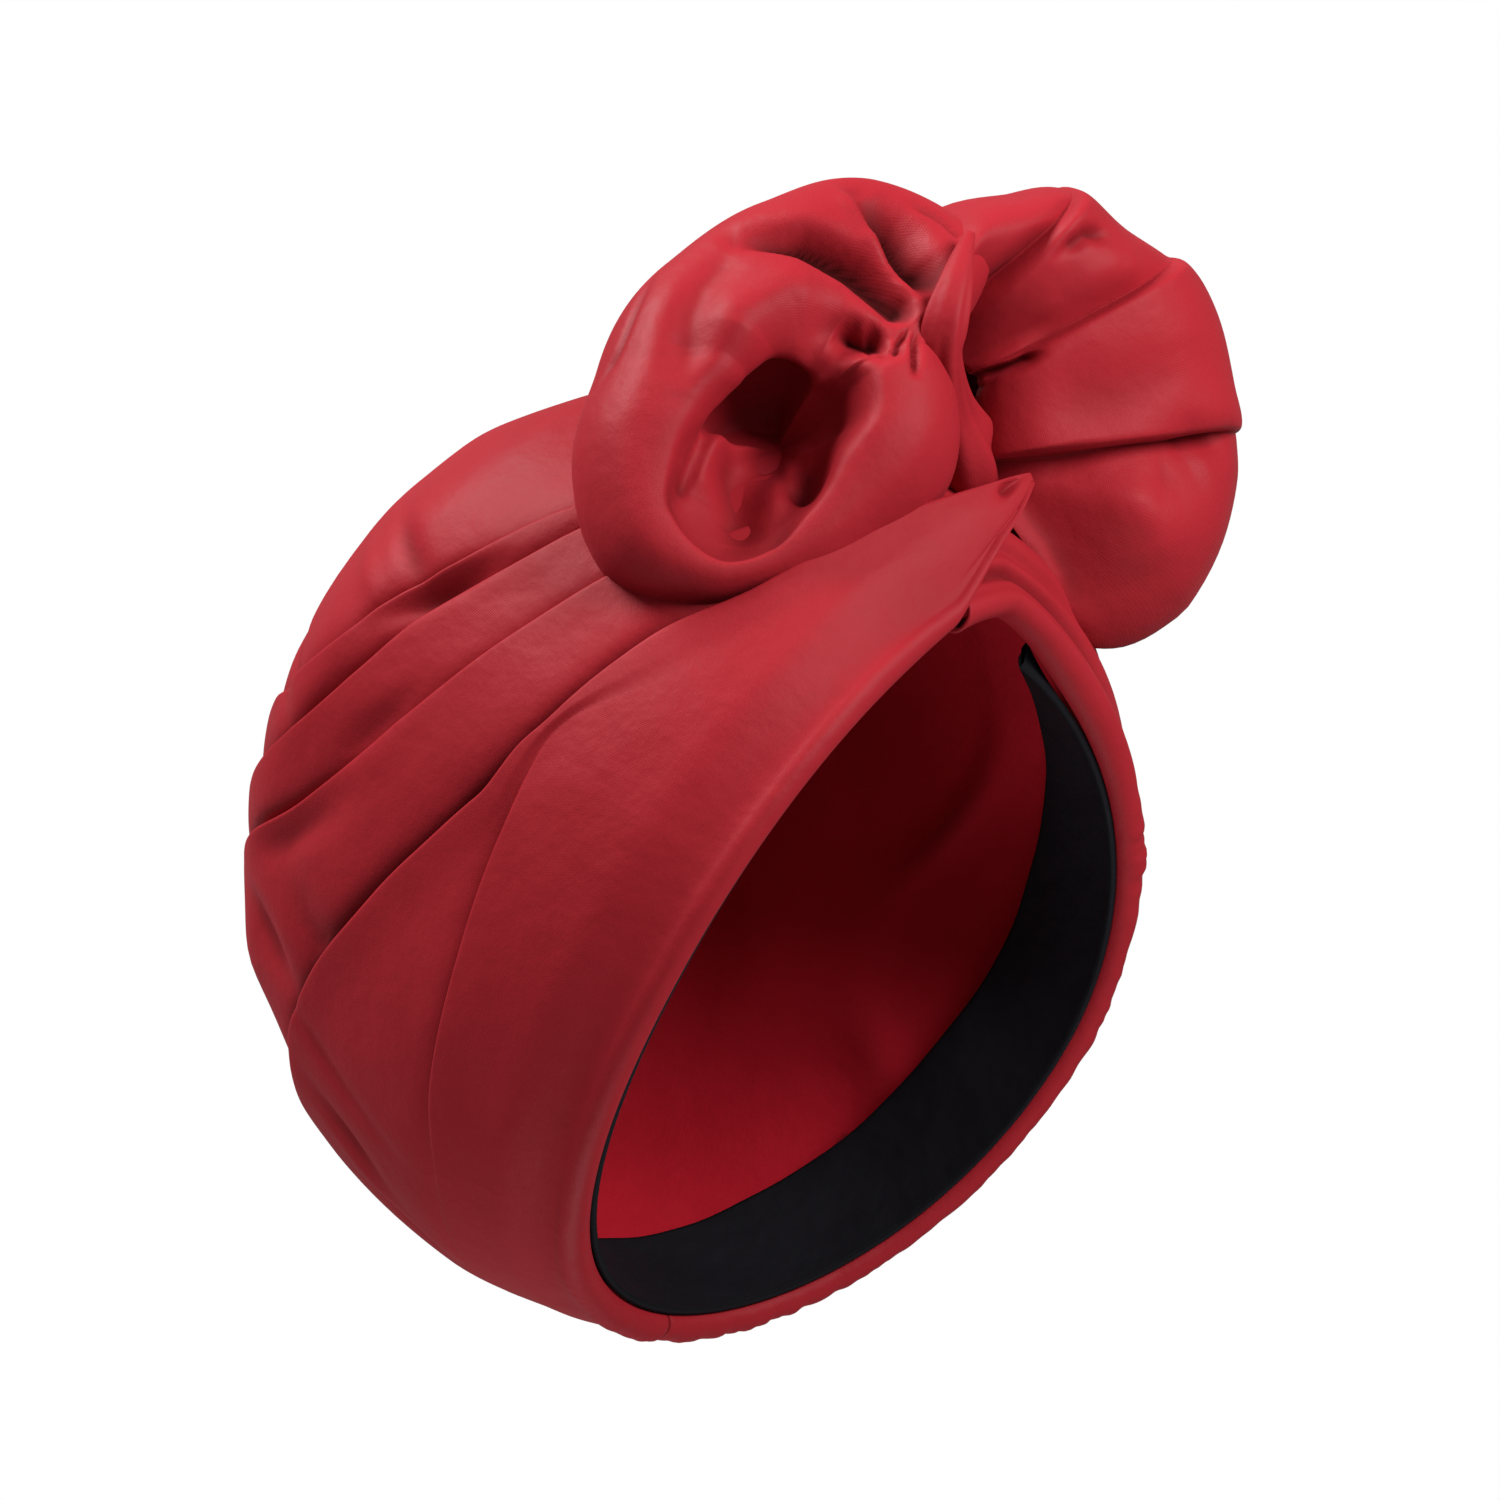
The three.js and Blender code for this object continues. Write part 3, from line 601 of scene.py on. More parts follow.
def band_folds(side, angle, up, edge):
    """Dents of the band: streaks or a curl at its start, and soft ones toward the back seam."""
    away = np.degrees(np.abs(angle))
    height_share = up / edge
    if side > 0:
        low_streak = np.exp(-((height_share - 0.30) / 0.09) ** 2)
        high_streak = 0.8 * np.exp(-((height_share - 0.62) / 0.10) ** 2)
        start = -STREAK_DEPTH * smoothstep(44, 14, away) * (low_streak + high_streak)
    else:
        start = -CURL_DEPTH * np.exp(-((away - 6.5) / 1.7) ** 2 - ((height_share - 0.74) / 0.10) ** 2)
    calm = smoothstep(0.03, 0.14, up) * pleat_fade(angle, 40, 60, 170, 179)
    strong = 1.0 if side < 0 else 0.8
    angles = angle + 0 * up
    dents = (-2.2 * dent(angles, up, 143, 0.385, 5, 16, 25) - 1.8 * dent(angles, up, 154, 0.30, 5, 16, 30)
             + 1.4 * dent(angles, up, 149, 0.345, 4, 14, 28) - 1.0 * dent(angles, up, 132, 0.39, 3, 24, 20))
    return start + calm * (strong * dents + 0.5 * uneven(angles * 5, up * 9, 0.6))


def hem_gather(side, angle):
    """The hem's small puckers, in clusters, and the slack of the cloth above them."""
    away = np.degrees(np.abs(angle))
    hem = smoothstep(25, 60, away) * (1.0 if side > 0 else smoothstep(120, 150, away))
    clusters = 0.35 + 0.65 * smoothstep(-0.4, 0.5, uneven(angle * 6, 0 * angle, 2.6))
    broad = 0.30 * np.sin(away * 0.8 + 3.5 * uneven(angle * 7, 0 * angle, 0.2))
    fine = 0.20 * np.sin(away * 1.7 + 4.0 * uneven(angle * 13, 0 * angle, 0.8))
    return hem * clusters * (broad + fine), hem * 0.6 * uneven(angle * 13, 0 * angle, 0.5)


def hem_roll(foot, turned, gather):
    """The half round that turns the cloth under, from its inner edge to the foot of its outside."""
    middle = (foot + turned) / 2
    half = (foot - turned) / 2
    turn = np.radians(np.linspace(180, 0, 18))[None, :-1, None]
    inner = 0.5 + 0.5 * np.cos(turn)
    sag = (HEM_DEPTH + gather[..., None] * (0.2 + 1.4 * inner)) * np.sin(turn)
    roll = middle + half * np.cos(turn) * (1 + 0.10 * gather[..., None] * np.sin(turn) * inner)
    roll[..., 2] -= sag[..., 0]
    return roll


print("most pucker:", round(float(np.abs(hem_gather(1, np.linspace(0, 3, 200))[0]).max()), 2), "mm")

# %% [markdown]
# ## The bands' grids
# One function makes both bands. The outside has two strips, below and above the band's own pleat,
# and the turned hem is added under them. The right band stands off the cap where it enters the knot.

# %% Bands
def band_grid(side, end, lift, tip_rise, columns=300):
    along = np.radians(end + (179.75 - end) * np.linspace(0, 1, columns) ** 1.15)[:, None]
    angle = side * along
    away = np.degrees(np.abs(angle))

    def near(share):
        return np.exp(-((np.abs(along) / np.radians(BAND_LIFT_SPREAD * (1 + 0.7 * share))) ** 1.5))

    tip = np.exp(-((np.abs(along) / np.radians(0.6 * BAND_LIFT_SPREAD)) ** 1.5))
    edge = crease["band"](away) + 0.003 * uneven(angle * 9, 0 * angle, 1.1)
    edge = edge - 0.006 * np.exp(-((away - 88) / 3.5) ** 2) + 0.004 * np.exp(-((away - 80) / 3.0) ** 2)
    fold = np.minimum(crease["fold"](away), edge * 0.93)
    start = tip_rise / CROWN_HEIGHT * tip
    share_low = bunched(34)[None, :-1]
    share_high = bunched(40)[None, :]
    low = 0.03 * edge
    dip = BAND_PLEAT_DEPTH * pleat_fade(angle, 76, 92, 150, 174)
    puff = 1.2 * pleat_fade(angle, 20, 45, 150, 178)
    up_low = low + (fold - low) * share_low
    up_high = fold + (edge - fold) * share_high
    off_low = tile_profile(low, fold, share_low, 0, dip, 0.25 * dip)
    off_high = tile_profile(fold, edge, share_high, dip, 1.2 + 0 * edge, puff, lip=1.6)
    up = np.concatenate([up_low, up_high], 1)
    offset = np.concatenate([off_low, off_high], 1)
    gather, slack = hem_gather(side, angle)
    offset = offset + band_folds(side, angle, up, edge)
    offset = offset + (0.3 * gather + slack) * np.exp(-(up * CROWN_HEIGHT) / 9.0)
    rise = start + (edge + 0.02 * tip - start) * (up / edge)
    outside = off_cap(angle + 0 * up, rise, offset + lift * near(up / edge))
    foot = outside[:, :1]
    flat = cap_normal(angle, 0.02 + 0 * angle)
    flat[..., 2] = 0
    flat = unit(flat)
    turned = rim_oval(angle, BAND_WALL + GAP + 0 * angle) + flat * (lift * near(0))[..., None]
    turned[..., 2] += (start * CROWN_HEIGHT) + 1.2
    narrowed = foot - flat * HEM_DEPTH
    blend = np.minimum(1, 2 * near(0))[..., None] * (1 if side < 0 else 0.25)
    turned = turned * (1 - blend) + narrowed * blend
    sheet = np.concatenate([hem_roll(foot, turned, gather), outside], 1)
    if side > 0:
        return sheet
    drawn = TIP_DRAWN * np.clip(1 - np.degrees(along - along[0]) / TIP_TAPER, 0, 1) ** 1.4
    tip_top = outside[:, -1:]
    return tip_top + (sheet - tip_top) * (1 - drawn[..., None])


right_grid = band_grid(-1, RIGHT_BAND_END, RIGHT_BAND_LIFT, RIGHT_TIP_RISE)
band_right = cloth_piece("wrap_band_right_cloth", right_grid, flip=True, material=satin)
left_grid = band_grid(1, LEFT_BAND_END, LEFT_BAND_LIFT, 0)
band_left = cloth_piece("wrap_band_left_cloth", left_grid, material=satin)

# %% [markdown]
# ## The knot's own axes
# The knot faces the wearer's right and down. Its pieces are easier to shape in axes of their own:
# right, up and out of its face.

# %% Knot axes
KNOT_ROOT = np.array([-4.0, -127.0, 87.0])
KNOT_TURN = 70
KNOT_TIP = 37
KNOT_ROLL = 45


def knot_axes():
    turn, tip = math.radians(KNOT_TURN), math.radians(KNOT_TIP)
    out = np.array([-math.sin(turn) * math.cos(tip), -math.cos(turn) * math.cos(tip), -math.sin(tip)])
    level = Vector(np.cross([0, 0, 1], out)).normalized()
    right = np.array(Matrix.Rotation(-math.radians(KNOT_ROLL), 3, Vector(out)) @ level)
    return right, np.cross(out, right), out


KNOT_RIGHT, KNOT_UP, KNOT_OUT = knot_axes()
print("out of the knot's face:", KNOT_OUT.round(2))

# %% [markdown]
# ## The fanned loop
# The loop on the wearer's left leaves the knot as a fan of four overlapping layers, rounds over its
# outline and turns back behind. The panel between the second and third crease lies on top.

# %% Fanned loop
FAN_LENGTH = 85
FAN_TURN = 25
FAN_FRONT = 24
FAN_BACK = 34
FAN_REACH = [
    {"at": 98, "reach": 0.46}, {"at": 84, "reach": 0.56}, {"at": 69, "reach": 0.64},
    {"at": 58, "reach": 0.75}, {"at": 55, "reach": 0.77}, {"at": 42, "reach": 0.80},
    {"at": 31, "reach": 0.88}, {"at": 28, "reach": 0.92}, {"at": 22, "reach": 0.955},
    {"at": 15, "reach": 0.975}, {"at": 4, "reach": 0.99}, {"at": -3, "reach": 1.02},
    {"at": -6, "reach": 1.03},
    {"at": -13, "reach": 1.04}, {"at": -22, "reach": 1.04}, {"at": -35, "reach": 1.04},
    {"at": -42, "reach": 1.01}, {"at": -48, "reach": 0.97}, {"at": -54, "reach": 0.90},
    {"at": -60, "reach": 0.80},
]
FAN_LINES = (98, 56.5, 29.5, -4.5, -60)
FAN_ROWS = (30, 34, 40, 44)
FAN_PROFILE = [
    (0.10, -0.05), (0.24, 0.45), (0.45, 0.85), (0.68, 1.0), (0.88, 0.72), (1.0, 0.05),
    (0.97, -0.45), (0.80, -0.85), (0.55, -1.0), (0.30, -0.95),
]


def through(points, count):
    """A smooth curve through a few points, as even steps of the parameter."""
    points = np.array(points, float)
    padded = np.concatenate([2 * points[:1] - points[1:2], points, 2 * points[-1:] - points[-2:-1]])
    place = np.linspace(0, len(points) - 1, count)
    i = np.minimum(place.astype(int), len(points) - 2)
    f = (place - i).reshape((-1,) + (1,) * (points.ndim - 1))
    a, b, c, d = padded[i], padded[i + 1], padded[i + 2], padded[i + 3]
    return 0.5 * (2 * b + (c - a) * f + (2 * a - 5 * b + 4 * c - d) * f**2 + (3 * b - a - 3 * c + d) * f**3)


print("fan's profile, half way:", through(FAN_PROFILE, 3)[1].round(2))

# %% [markdown]
# ## Roots and small folds of the fan
# The layers don't leave the knot from one point, so each edge has its own root. The small folds are
# drawn as lines in the fan's own plane, in millimetres, each with a height and a width.

# %% Fan's roots and folds
FAN_ROOTS = [
    {"at": 98, "across": -4, "up": 14}, {"at": 57, "across": -4, "up": 15},
    {"at": 55, "across": -1, "up": 10}, {"at": 31, "across": 1, "up": 3},
    {"at": 28, "across": 1, "up": 0}, {"at": -3, "across": 3, "up": -18},
    {"at": -6, "across": 5, "up": -17}, {"at": -60, "across": 8, "up": -18},
]
FAN_FOLDS = [
    {"line": [(19, 9), (14, 6), (5, 2)], "height": -5.5, "wide": 1.3},
    {"line": [(10, 2), (4, -1), (-4, -7)], "height": -4.0, "wide": 1.0},
    {"line": [(36, 39), (29, 38), (22, 33)], "height": -3.0, "wide": 2.0},
    {"line": [(68, -16), (57, -20), (48, -19)], "height": -2.4, "wide": 10.0},
    {"line": [(80, -10), (66, -10), (52, -10)], "height": -2.8, "wide": 5.0},
    {"line": [(40, -20), (48, -33), (52, -45)], "height": 2.2, "wide": 8.0},
    {"line": [(26, 6), (48, 13), (66, 16)], "height": 1.6, "wide": 8.0},
    {"line": [(24, 24), (38, 31), (48, 34)], "height": 1.6, "wide": 5.0},
    {"line": [(14, -24), (24, -38), (32, -52)], "height": 2.0, "wide": 3.0},
]


def brushed(x, y, line, height, wide):
    """A fold drawn along a line of points: full in its middle and fading out at both ends."""
    total = 0 * x
    spans = len(line) - 1
    for k in range(spans):
        (ax, ay), (bx, by) = line[k], line[k + 1]
        dx, dy = bx - ax, by - ay
        f = np.clip(((x - ax) * dx + (y - ay) * dy) / (dx * dx + dy * dy), 0, 1)
        away = np.hypot(x - ax - f * dx, y - ay - f * dy)
        along = (k + f) / spans
        strength = np.minimum(1, 3.2 * np.minimum(along + 0.08, 1.08 - along))
        total = np.maximum(total, strength * np.exp(-(away / wide) ** 2))
    return height * total


print("fan folds:", len(FAN_FOLDS))

# %% [markdown]
# ## The fan's grid
# Rows run out along the profile and columns turn round the knot, crowded at the three creases. One
# side of each crease rises to a lip and the other falls to a valley.

# %% Fan
def fan_grid():
    across = np.array(Matrix.Rotation(math.radians(FAN_TURN), 3, Vector(KNOT_UP)) @ Vector(KNOT_RIGHT))
    out = np.cross(across, KNOT_UP)
    layers = zip(FAN_LINES, FAN_LINES[1:], FAN_ROWS)
    turns = [low + (high - low) * bunched(rows)[:-1] for low, high, rows in layers]
    turns.append([FAN_LINES[-1]])
    at = np.concatenate(turns)[:, None]
    first, second, third = FAN_LINES[1:4]
    profile = through(FAN_PROFILE, 120)
    reach_share, high_share = profile[:, 0][None], profile[:, 1][None]
    reach = column(FAN_REACH, "at", "reach")(at) * FAN_LENGTH

    def lip(edge, side, wide):
        d = (at - edge) * side
        return np.where(d > 0, np.exp(-(d / wide) ** 2), 0) * np.clip(d / 0.9, 0, 1) ** 0.5

    def valley(edge, side, wide):
        d = (at - edge) * side
        return np.where(d >= 0, np.exp(-d / wide), np.exp(d / 0.5))

    front = smoothstep(-0.3, 0.1, high_share)
    grown = smoothstep(0.05, 0.35, reach_share) * smoothstep(-1.0, 0.1, high_share)
    relief = (2.4 * lip(first, -1, 9) - 4.0 * valley(first, 1, 7)
              + 2.6 * lip(second, -1, 12) - 3.6 * valley(second, 1, 6)
              + 2.6 * lip(third, 1, 10) - (3.5 + 4.0 * reach_share) * valley(third, -1, 8))
    relief = relief * grown * (1 - 0.85 * smoothstep(0.76, 1.0, reach_share))
    turn = np.radians(at)
    root_x = column(FAN_ROOTS, "at", "across")(at)
    root_y = column(FAN_ROOTS, "at", "up")(at)
    x = root_x * (1 - reach_share) + np.cos(turn) * reach * reach_share
    y = root_y * (1 - reach_share) + np.sin(turn) * reach * reach_share
    for fold in FAN_FOLDS:
        relief = relief + front * brushed(x, y, fold["line"], fold["height"], fold["wide"])
    relief = relief + 0.6 * uneven(turn * 4, reach_share * 5 + high_share * 3, 0.5)
    back = FAN_BACK * (1 - 0.8 * smoothstep(-34, -58, at))
    front_high = FAN_FRONT * (1 - 0.7 * smoothstep(-22, -58, at))
    height = np.where(high_share > 0, front_high, back) * high_share
    over = smoothstep(-8, 0, at) * smoothstep(36, 24, at)
    height = height + 9 * over * np.exp(-((reach_share - 0.12) / 0.22) ** 2) * front
    slope_out = np.gradient(reach_share + 0 * height, axis=1) * reach
    slope_up = np.gradient(height, axis=1)
    norm = np.maximum(np.hypot(slope_out, slope_up), 1e-6)
    x = x - slope_up / norm * relief * np.cos(turn)
    y = y - slope_up / norm * relief * np.sin(turn)
    height = height + slope_out / norm * relief
    return KNOT_ROOT + x[..., None] * across + y[..., None] * KNOT_UP + height[..., None] * out


loop_left = cloth_piece("knot_loop_left_cloth", fan_grid(), material=satin)

# %% [markdown]
# ## The open loop
# The loop on the wearer's right is a puffed ring of cloth round a deep hollow. Gathers run from its
# outline into the knot, and soft folds stand on the hollow's inner wall.

# %% Open loop's form
LOOP_RADIUS = 52
LOOP_ASIDE = 37
LOOP_BELOW = 8.5
LOOP_AHEAD = 36
LOOP_TILT_UP = 20
LOOP_TILT_IN = 10
LOOP_FRONT = 16
LOOP_BACK = 34
LOOP_SECTIONS = [
    {"at": 0, "outline": 0.82, "lip": 0.21, "front": 1.15},
    {"at": 20, "outline": 1.36, "lip": 0.18, "front": 0.95},
    {"at": 45, "outline": 1.32, "lip": 0.18, "front": 0.85},
    {"at": 70, "outline": 1.10, "lip": 0.20, "front": 0.95},
    {"at": 102, "outline": 0.94, "lip": 0.23, "front": 1.00},
    {"at": 141, "outline": 0.90, "lip": 0.28, "front": 1.00},
    {"at": 171, "outline": 1.02, "lip": 0.44, "front": 0.90},
    {"at": 187, "outline": 1.10, "lip": 0.62, "front": 0.80},
    {"at": 200, "outline": 1.14, "lip": 0.80, "front": 0.70},
    {"at": 220, "outline": 1.06, "lip": 0.88, "front": 0.60},
    {"at": 236, "outline": 0.92, "lip": 0.74, "front": 0.60},
    {"at": 248, "outline": 0.85, "lip": 0.55, "front": 0.70},
    {"at": 279, "outline": 0.74, "lip": 0.31, "front": 0.95},
    {"at": 320, "outline": 0.79, "lip": 0.27, "front": 1.20},
    {"at": 345, "outline": 0.80, "lip": 0.25, "front": 1.20},
    {"at": 360, "outline": 0.82, "lip": 0.21, "front": 1.15},
]
outline_share = column(LOOP_SECTIONS, "at", "outline")
lip_share = column(LOOP_SECTIONS, "at", "lip")
loop_front_share = column(LOOP_SECTIONS, "at", "front")
print("loop:", 2 * LOOP_RADIUS, "mm across,", LOOP_FRONT + LOOP_BACK, "mm thick")

# %% [markdown]
# ## Folds of the open loop
# Each fold is a line of places: an angle round the loop, and a share of its radius. Folds on the
# front run into the knot, and the others stand on the hollow's wall.

# %% Open loop's folds
LOOP_FOLDS = [
    {"line": [(78, 0.80), (91, 0.76), (106, 0.68), (121, 0.60), (138, 0.54), (160, 0.58)],
     "height": -3.2, "wide": 5.5, "front": True},
    {"line": [(82, 0.86), (62, 0.78), (42, 0.71), (19, 0.65), (9, 0.66)],
     "height": -9.0, "wide": 4.4, "front": True},
    {"line": [(53, 1.14), (45, 1.00), (27, 0.79), (11, 0.71)], "height": 3.0, "wide": 2.6, "front": True},
    {"line": [(47, 1.16), (35, 1.02), (29, 0.92), (14, 0.86)], "height": -11.0, "wide": 6.0, "front": True},
    {"line": [(36, 0.35), (13, 0.38), (10, 0.50)], "height": -9.0, "wide": 4.0, "front": True},
    {"line": [(135, 0.36), (105, 0.42), (70, 0.48), (40, 0.50)], "height": 3.0, "wide": 7.0, "front": True},
    {"line": [(110, 0.91), (124, 0.85), (141, 0.84), (152, 0.90)],
     "height": -0.9, "wide": 0.8, "front": True},
    {"line": [(36, 1.24), (28, 1.23), (20, 1.19)], "height": -2.0, "wide": 1.0, "front": True},
    {"line": [(7, 0.61), (2, 0.54), (353, 0.46)], "height": -3.4, "wide": 1.1, "front": True},
    {"line": [(4, 0.64), (354, 0.57), (341, 0.52)], "height": -3.0, "wide": 1.0, "front": True},
    {"line": [(9, 0.58), (3, 0.47), (350, 0.37)], "height": -1.5, "wide": 2.0, "front": True},
    {"line": [(156, 0.28), (185, 0.45), (195, 0.56), (200, 0.64)],
     "height": 2.6, "wide": 4.4, "front": False},
    {"line": [(168, 0.40), (188, 0.57), (197, 0.72)], "height": -3.0, "wide": 1.8, "front": False},
    {"line": [(170, 0.20), (206, 0.36), (220, 0.56), (225, 0.72)],
     "height": -3.4, "wide": 4.8, "front": False},
    {"line": [(185, 0.12), (223, 0.25), (231, 0.44), (236, 0.58)],
     "height": 3.2, "wide": 5.4, "front": False},
    {"line": [(280, 0.18), (258, 0.35), (246, 0.48)], "height": -4.0, "wide": 3.0, "front": False},
]
print("loop folds:", len(LOOP_FOLDS))

# %% [markdown]
# ## The open loop's grid
# Nine stations lead from the bottom of the hollow over the lip and round to the back, and a smooth
# curve runs through them at every angle. The upper part of the hollow reaches in under the lip.

# %% Open loop
def loop_grid(count=270, rows=170):
    centre = KNOT_ROOT - KNOT_RIGHT * LOOP_ASIDE - KNOT_UP * LOOP_BELOW + KNOT_OUT * LOOP_AHEAD
    axis = unit(KNOT_OUT + KNOT_UP * math.tan(math.radians(LOOP_TILT_UP))
                + KNOT_RIGHT * math.tan(math.radians(LOOP_TILT_IN)))
    to_knot = KNOT_ROOT - centre
    to_knot = unit(to_knot - axis * to_knot.dot(axis))
    side = np.cross(axis, to_knot)
    at = np.arange(count) * 360 / count
    outline = LOOP_RADIUS * outline_share(at)
    lip = LOOP_RADIUS * lip_share(at)
    front = LOOP_FRONT * loop_front_share(at)
    width = outline - lip
    under = smoothstep(20, 60, at) * smoothstep(185, 140, at)
    still = 0 * at
    stations = np.array([
        [0.001 + still, -LOOP_BACK * 0.62 + still],
        [lip * (0.52 + 0.5 * under), -LOOP_BACK * (0.14 + 0.44 * under)],
        [lip * (0.84 + 0.7 * under), front * 0.15 - 5 * under],
        [lip, front * 0.55],
        [lip + 0.22 * width, front],
        [lip + 0.70 * width, front * 0.82],
        [outline, still],
        [outline * 0.98, -LOOP_BACK * 0.45 + still],
        [outline * 0.86, -LOOP_BACK + still],
    ])
    curve = through(stations, rows)
    reach, height = curve[:, 0].T, curve[:, 1].T
    share = np.linspace(0, 1, rows)[None]
    turn = np.radians(at)[:, None]
    x, y = reach * np.cos(turn), reach * np.sin(turn)
    outside = smoothstep(0.34, 0.40, share) * smoothstep(0.80, 0.72, share)
    inside = smoothstep(0.05, 0.12, share) * smoothstep(0.42, 0.36, share)
    relief = 0.6 * uneven(turn * 3, share * 6, 0.2) * smoothstep(0, 0.1, share)
    for fold in LOOP_FOLDS:
        line = [(LOOP_RADIUS * r * math.cos(math.radians(a)), LOOP_RADIUS * r * math.sin(math.radians(a)))
                for a, r in fold["line"]]
        where = outside if fold["front"] else inside
        relief = relief + brushed(x, y, line, fold["height"], fold["wide"]) * where
    dr = np.gradient(reach, axis=1)
    dh = np.gradient(height, axis=1)
    norm = np.maximum(np.hypot(dr, dh), 1e-6)
    reach = reach - dh / norm * relief
    height = height + dr / norm * relief
    reach[:, 0] = 0
    along = np.cos(turn) * to_knot + np.sin(turn) * side
    return centre + along[:, None] * reach[..., None] + axis * height[..., None]


loop_right = cloth_piece("knot_loop_right_cloth", loop_grid(), closed=True, flip=True, material=satin)

# %% [markdown]
# ## The twist
# Between the loops the cloth is wrung into a tight, ribbed core, with a narrow tab at its top.

# %% Twist
TWIST_SECTIONS = [
    {"right": 6.9, "up": 35.5, "out": 27, "half": 1.4, "deep": 1.0},
    {"right": 4.4, "up": 28.0, "out": 33, "half": 3.0, "deep": 2.0},
    {"right": 2.6, "up": 21.0, "out": 37, "half": 4.2, "deep": 2.6},
    {"right": 0.4, "up": 12.0, "out": 38, "half": 5.2, "deep": 3.4},
    {"right": -0.5, "up": 4.0, "out": 33, "half": 5.0, "deep": 4.0},
    {"right": 1.5, "up": -5.0, "out": 14, "half": 6.6, "deep": 6.6},
    {"right": 4.0, "up": -14.0, "out": 0, "half": 11.5, "deep": 11.0},
    {"right": 4.0, "up": -16.0, "out": -14, "half": 13.0, "deep": 12.0},
]


def twist_grid(count=110, sides=72):
    stations = [[row[key] for key in ("right", "up", "out", "half", "deep")] for row in TWIST_SECTIONS]
    line = through(stations, count)
    centre = KNOT_ROOT + line[:, :3] @ np.stack([KNOT_RIGHT, KNOT_UP, KNOT_OUT])
    tangent = unit(np.gradient(centre, axis=0))
    across = unit(KNOT_RIGHT - tangent * (tangent @ KNOT_RIGHT)[:, None])
    side = np.cross(tangent, across)
    share = np.linspace(0, 1, count)[:, None]
    turn = np.linspace(0, 2 * np.pi, sides + 1)[None]
    ribs = 0.10 * np.cos(turn * 4 + 3.0 * share) + 0.05 * np.cos(turn * 7 - 4.0 * share)
    rib = 1 + ribs * smoothstep(0.1, 0.5, share)
    grid = (centre[:, None] + across[:, None] * (line[:, 3:4] * rib * np.cos(turn))[..., None]
            + side[:, None] * (line[:, 4:5] * rib * np.sin(turn))[..., None])
    tip = np.repeat(grid[:1].mean(1, keepdims=True), sides + 1, 1)
    root = np.repeat(grid[-1:].mean(1, keepdims=True), sides + 1, 1)
    return np.concatenate([tip, grid, root], 0)


twist = cloth_piece("knot_twist_cloth", twist_grid(), flip=True, thickness=None, material=satin)

# %% [markdown]
# ## What each piece stands for
# Each sheet rides on the one body and replaces its plain solid. The table also lists its slot, the flat size
# that it was cut to and how it is held, which the loop below doesn't use.

SHEETS = [
    (crown, "crown", "satin", (0.42, 0.36), "stretched"),
    (lining, "lining", "lining_satin", (0.40, 0.34), "hung"),
    (inner_band, "inner_band", "black_velvet", (0.52, 0.038), "stretched"),
    (band_right, "wrap_band_right", "satin", (0.36, 0.085), "folded"),
    (band_left, "wrap_band_left", "satin", (0.37, 0.085), "folded"),
    (loop_left, "knot_loop_left", "satin", (0.24, 0.10), "gathered"),
    (loop_right, "knot_loop_right", "satin", (0.26, 0.09), "gathered"),
    (twist, "knot_twist", "satin", (0.07, 0.035), "gathered"),
]
for piece, node, slot, flat, held in SHEETS:
    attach(piece, "root")
    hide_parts(node)
print("pieces declared:", len(SHEETS))

# %% [markdown]
# ## The floor
# A large pale floor lies well below. It is stage, so it isn't part of the object.

# %% Floor
FLOOR_DROP = 1.3
bpy.ops.object.select_all(action="DESELECT")
bpy.ops.mesh.primitive_plane_add(size=8, location=(0, 0, -FLOOR_DROP))
floor = bpy.context.object
floor.name = "floor"
pale = bpy.data.materials.new("pale_floor")
pale.use_nodes = True
pale.node_tree.nodes["Principled BSDF"].inputs["Base Color"].default_value = (0.8, 0.8, 0.8, 1)
pale.node_tree.nodes["Principled BSDF"].inputs["Roughness"].default_value = 0.9
floor.data.materials.append(pale)
print("floor:", FLOOR_DROP, "m below the rim")

# %% [markdown]
# ## The camera
# The camera looks up at the rim from the wearer's right, turned until the cap leans as it should. A
# long lens from one metre keeps the shape free of stretch. The small shift only frames it.

# %% Camera
PHOTO_SIZE = 1500
VIEW_TURN = 69.909
VIEW_TIP = 36.681
VIEW_ROLL = -45.411
VIEW_DISTANCE = 1.0
VIEW_LENS = 94.5
VIEW_AIM = Vector((0, 0, 0.060))
PHOTO_SHIFT = (-3.479, 123.345)

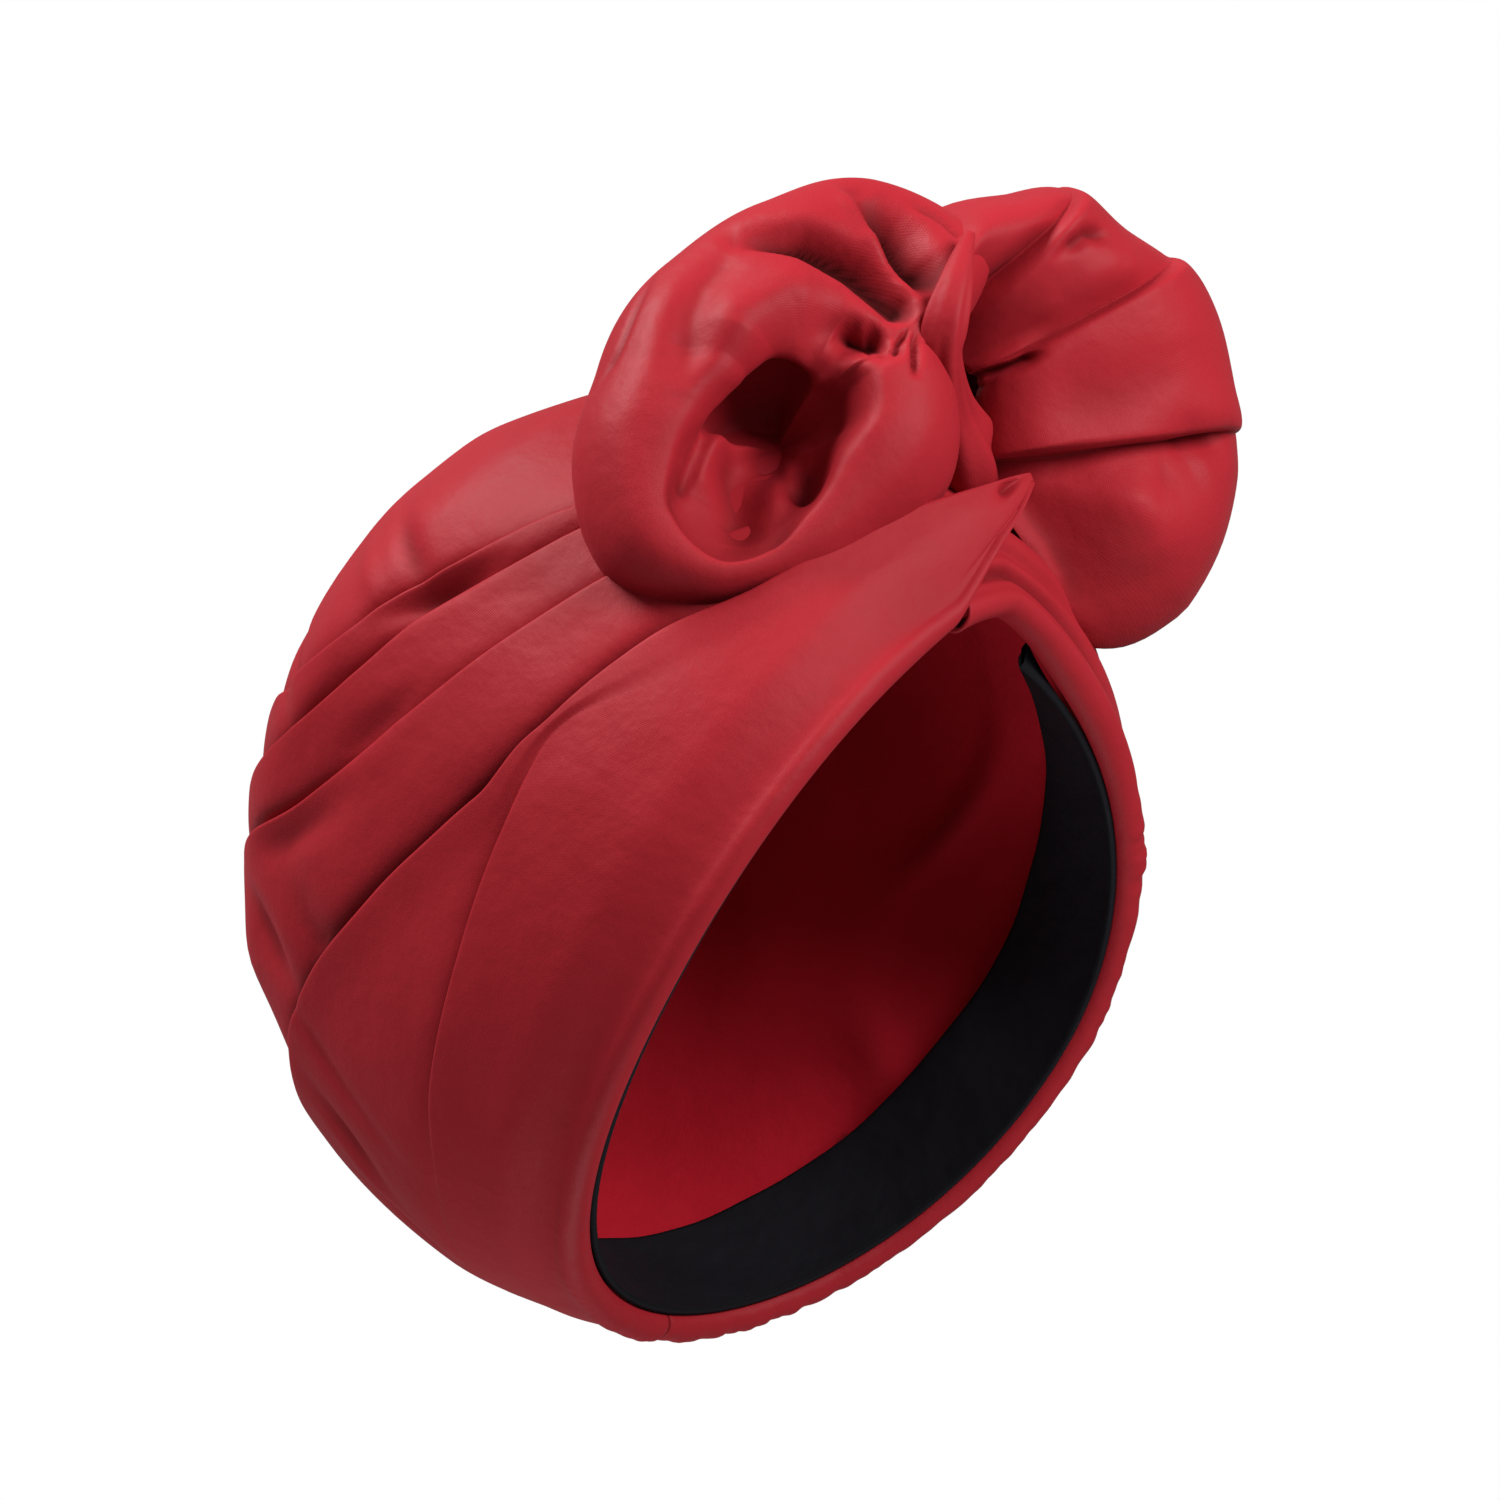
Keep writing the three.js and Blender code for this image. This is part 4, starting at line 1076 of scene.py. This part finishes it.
turn, tip, roll = (math.radians(v) for v in (VIEW_TURN, VIEW_TIP, VIEW_ROLL))
back = Vector((-math.sin(turn) * math.cos(tip), -math.cos(turn) * math.cos(tip), -math.sin(tip)))
level = Vector((0, 0, 1)).cross(back).normalized()
right = Matrix.Rotation(roll, 3, back) @ level
up = back.cross(right)
camera_data = bpy.data.cameras.new("camera")
camera_data.lens = VIEW_LENS
camera_data.sensor_width = 36
camera_data.shift_x = -PHOTO_SHIFT[0] / PHOTO_SIZE
camera_data.shift_y = PHOTO_SHIFT[1] / PHOTO_SIZE
camera_data.clip_start = 0.05
camera = bpy.data.objects.new("camera", camera_data)
bpy.context.collection.objects.link(camera)
facing = Matrix((right, up, back)).transposed().to_4x4()
camera.matrix_world = Matrix.Translation(VIEW_AIM + back * VIEW_DISTANCE) @ facing
bpy.context.scene.camera = camera
print("camera at", [round(v, 2) for v in camera.matrix_world.translation])

# %% [markdown]
# ## The lights
# One large soft light from the upper left models the folds, two weaker ones fill the shade, and a
# pale world keeps the background white: the camera sees it bright, and the cloth is lit by less of it.

# %% Lights
WORLD_LIGHT = 0.24


def soft_light(name, direction, distance, size, power):
    data = bpy.data.lights.new(name, "AREA")
    data.shape = "DISK"
    data.size = size
    data.energy = power
    lamp = bpy.data.objects.new(name, data)
    bpy.context.collection.objects.link(lamp)
    towards = (right * direction[0] + up * direction[1] + back * direction[2]).normalized()
    aimed = towards.to_track_quat("Z", "Y").to_matrix().to_4x4()
    lamp.matrix_world = Matrix.Translation(VIEW_AIM + towards * distance) @ aimed
    print(name, "light:", power, "W at", distance, "m")


soft_light("key", (-0.55, 0.85, 0.10), 1.1, 0.50, 19)
soft_light("right", (0.65, 0.55, 0.62), 0.62, 0.30, 4.2)
soft_light("low", (-0.2, -0.95, 0.15), 1.3, 0.8, 8)

world = bpy.data.worlds.new("studio")
world.use_nodes = True
bpy.context.scene.world = world
nodes, links = world.node_tree.nodes, world.node_tree.links
surface = nodes["Background"]
surface.inputs["Color"].default_value = (1, 1, 1, 1)
seen = nodes.new("ShaderNodeLightPath")
strength = nodes.new("ShaderNodeMapRange")
strength.inputs["To Min"].default_value = WORLD_LIGHT
strength.inputs["To Max"].default_value = 1.0
links.new(seen.outputs["Is Camera Ray"], strength.inputs["Value"])
links.new(strength.outputs["Result"], surface.inputs["Strength"])
bpy.context.scene.view_settings.view_transform = "Standard"
